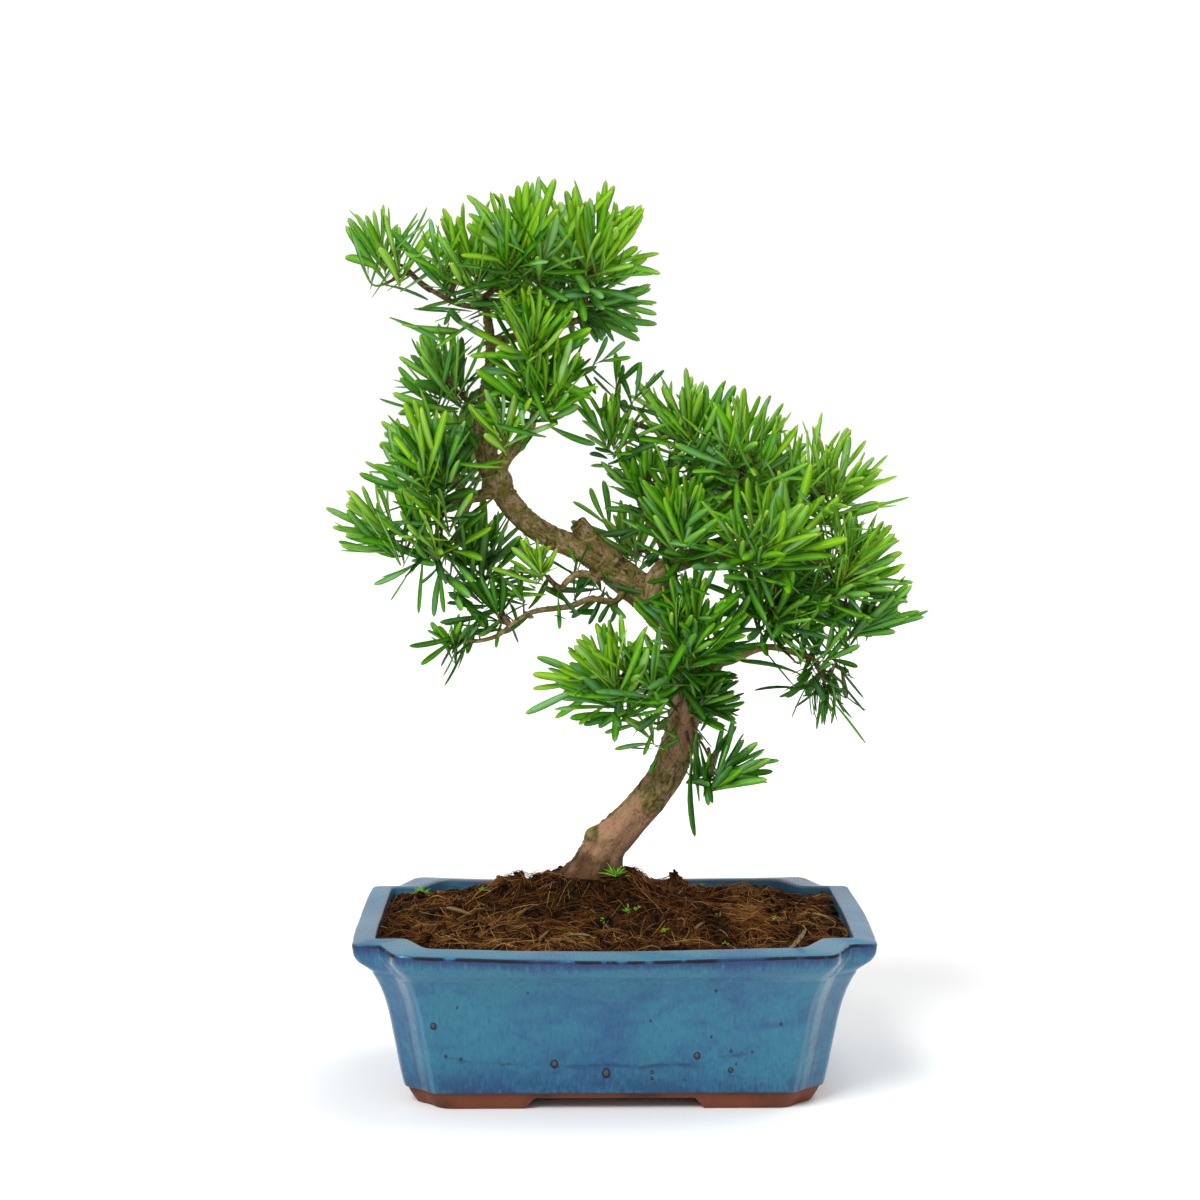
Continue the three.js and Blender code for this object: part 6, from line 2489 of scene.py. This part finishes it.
    def build(self) -> None:
        """Makes the foliage: twigs of wood, green shoots, and the leaves of each tone."""
        woody, green, room = Strands(), Strands(), Room()
        shoots = []
        for number, (name, mass) in enumerate(MASSES.items()):
            twigs = self.growth(mass, Stream(FIRST_SEED + SEED_STEP * number))
            stream = Stream(1000 + 37 * number)
            woody.add(self._gnarled(twigs.stem, 0.5, number), np.linspace(2.0, 1.5, len(twigs.stem)))
            shoots += [(spray, stream) for spray in self.sprays(name, twigs, stream)]
        shoots += [(sprig.spray(), Stream(9000 + 41 * number)) for number, sprig in enumerate(SPRIGS)]
        rows: dict[Tone, list[tuple]] = {tone: [] for tone in Tone}
        for spray, stream in shoots:
            line, count = self._twig(spray), self.woody_points
            woody.add(line[:count], np.linspace(1.15, 0.85, count) * spray.scale, stream.next())
            rest = line[count - 1:]
            green.add(rest, np.linspace(0.86, 0.45, len(rest)) * spray.scale, stream.next())
            for tone, row in self.leaves(spray, stream, room):
                rows[tone].append(row)
        pieces = [
            self.skinned("twigs_woody", woody, 7, WOODY_TWIG),
            self.skinned("twigs_green", green, 5, GREEN_TWIG),
        ]
        for tone, leaves in rows.items():
            shapes = [shape.mesh() for shape in (CURLED if tone is Tone.WITHERED else BLADES)]
            pieces.append(self.scattered(f"leaves_{tone.name.lower()}_a", leaves, shapes, LEAVES[tone]))
        hand_over("foliage", pieces, *(f"leaves_{name}" for name in MASSES))
        log.info("%d leaves", sum(map(len, rows.values())))

    @staticmethod
    def _twig(spray: Spray) -> Array:
        """The line of a shoot, which leaves its twig and turns into the shoot's own direction.

        Args:
            spray: The shoot.

        Returns:
            The line's points.
        """
        gap = float(np.linalg.norm(spray.tip - spray.start))
        leave = spray.start + unit(spray.tip - spray.start) * gap * 0.4
        arrive = spray.tip - spray.axis * min(24.0, gap * 0.55)
        t = np.linspace(0, 1, 11)[:, None]
        return ((1 - t) ** 3 * spray.start + 3 * t * (1 - t) ** 2 * leave + 3 * t * t * (1 - t) * arrive
                + t**3 * spray.tip)

    @staticmethod
    def _gnarled(line: Array, amount: float, seed: int) -> Array:
        """A line with a slight wander, fixed at its start."""
        shift = np.column_stack([grain(line, 11, 2, seed * 3 + k) for k in range(3)])
        return line + shift * amount * np.linspace(0, 1, len(line))[:, None]


class Room:
    """Where leaves may be: inside the masses and the hollows between them, and clear of the limbs."""

    gap: float = 0.8
    tightness: float = 1.3

    def __init__(self) -> None:
        """Lays spots along every limb and takes the masses' spaces."""
        spots, radii = [], []
        for limb in LIMBS.values():
            line = np.array(limb.line)
            t = np.linspace(0, 1, 8 * len(line))
            spots.append(smooth_line(line, t))
            radii.append(np.interp(t, np.linspace(0, 1, len(line)), line[:, 3]))
        self.spots, self.radii = np.vstack(spots), np.concatenate(radii)
        self.centres, self.halves = np.array([filled(name) for name in MASSES]).transpose(1, 0, 2)

    def holds(self, root: Array, reach: Array, limit: float) -> bool:
        """Whether a leaf fits.

        Args:
            root: Where it starts.
            reach: The way from there to its tip.
            limit: How far out of a mass its tip may be, where 1 is the edge.

        Returns:
            True where its tip isn't too far out and no part of it is in a limb.
        """
        square = (((root + reach - self.centres) / self.halves) ** 2).sum(axis=1)
        if np.exp(self.tightness * (1 - square)).sum() < math.exp(self.tightness * (1 - limit**2)):
            return False
        parts = root + reach * np.array([[0.45], [0.75], [1.0]])
        gaps = np.linalg.norm(parts[:, None] - self.spots[None], axis=-1) - self.radii[None]
        return bool(gaps.min() > self.gap)


# ---------------------------------------------------------------- studio


@dataclass(frozen=True)
class Studio:
    """The floor, the lights and the camera."""

    layout: Layout
    eye: Spot = (-25, -1530, 447)
    down: float = 5.76
    turn: float = -0.644
    lens: float = 76.5
    sensor: float = 36
    sky: float = 0.62
    white: float = 1.05
    half_floor: float = 6.0

    def floor(self) -> None:
        """Lays the floor."""
        size = self.half_floor
        corners = [(-size, -size, 0), (size, -size, 0), (size, size, 0), (-size, size, 0)]
        Backdrop().dress(new_piece("floor", corners, [(0, 1, 2, 3)]))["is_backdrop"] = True

    @staticmethod
    def holder(name: str, held: bpy.types.ID, turn: Euler) -> Piece:
        """Puts a lamp or a camera into the scene, turned.

        Args:
            name: Its name.
            held: The lamp or the camera.
            turn: How it is turned.

        Returns:
            The object.
        """
        made = bpy.data.objects.new(name, held)
        made.rotation_euler = turn
        bpy.context.scene.collection.objects.link(made)
        return made

    def light(self, name: str, come_from: Spot, spread: float, strength: float) -> None:
        """Adds a soft light from far away, spread over some degrees of the sky.

        Args:
            name: Its name.
            come_from: The way from the plant to it.
            spread: The degrees.
            strength: Its strength.
        """
        lamp = bpy.data.lights.new(name, "SUN")
        lamp.angle, lamp.energy = math.radians(spread), strength
        self.holder(name, lamp, (-Vector(come_from)).to_track_quat("-Z", "Y").to_euler())

    def world(self) -> None:
        """Surrounds the plant with even pale light, in front of a white background."""
        world = bpy.data.worlds.new("studio")
        world.use_nodes = True
        graph = Graph(world.node_tree)
        sky, back = (
            graph.value("ShaderNodeBackground", sockets={"Color": (1, 1, 1), "Strength": strength})
            for strength in (self.sky, self.white)
        )
        seen = graph.value("ShaderNodeLightPath", output="Is Camera Ray")
        both = graph.value("ShaderNodeMixShader", sockets={0: seen, 1: sky, 2: back})
        graph.node("ShaderNodeOutputWorld", sockets={"Surface": both})
        bpy.context.scene.world = world

    def camera(self) -> None:
        """Sets up the camera."""
        lens = bpy.data.cameras.new("camera")
        lens.lens, lens.sensor_width = self.lens, self.sensor
        lens.clip_start, lens.clip_end = 0.05, 30
        turn = Euler((math.radians(90 - self.down), 0, math.radians(self.turn)))
        camera = self.holder("camera", lens, turn)
        camera.location = self.layout.place(self.eye)
        bpy.context.scene.camera = camera

    def build(self) -> None:
        """Makes the studio."""
        self.floor()
        self.light("key", (-0.55, -0.75, 1.0), 28, 2.3)
        self.light("top", (0.5, 0.25, 1.0), 50, 1.2)
        self.world()
        self.camera()
        view = bpy.context.scene.view_settings
        view.view_transform, view.look = "Standard", "None"
        view.exposure, view.gamma = 0, 1


def main() -> None:
    """Builds the plant, its pot and the studio."""
    logging.basicConfig(level=logging.INFO, format="%(name)s: %(message)s")
    kit = Layout.of_pot(), TubeGrower(), Scatterer()
    pot = Pot(*kit)
    Studio(pot.layout).build()
    for part in (pot, RootBall(*kit, pot), Wood(*kit), Foliage(*kit)):
        part.build()
    boxes = {"cad": CAD_BOX, "visual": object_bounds()}
    {name: [list(corner) for corner in box] for name, box in boxes.items()}


if __name__ == "__main__":
    main()
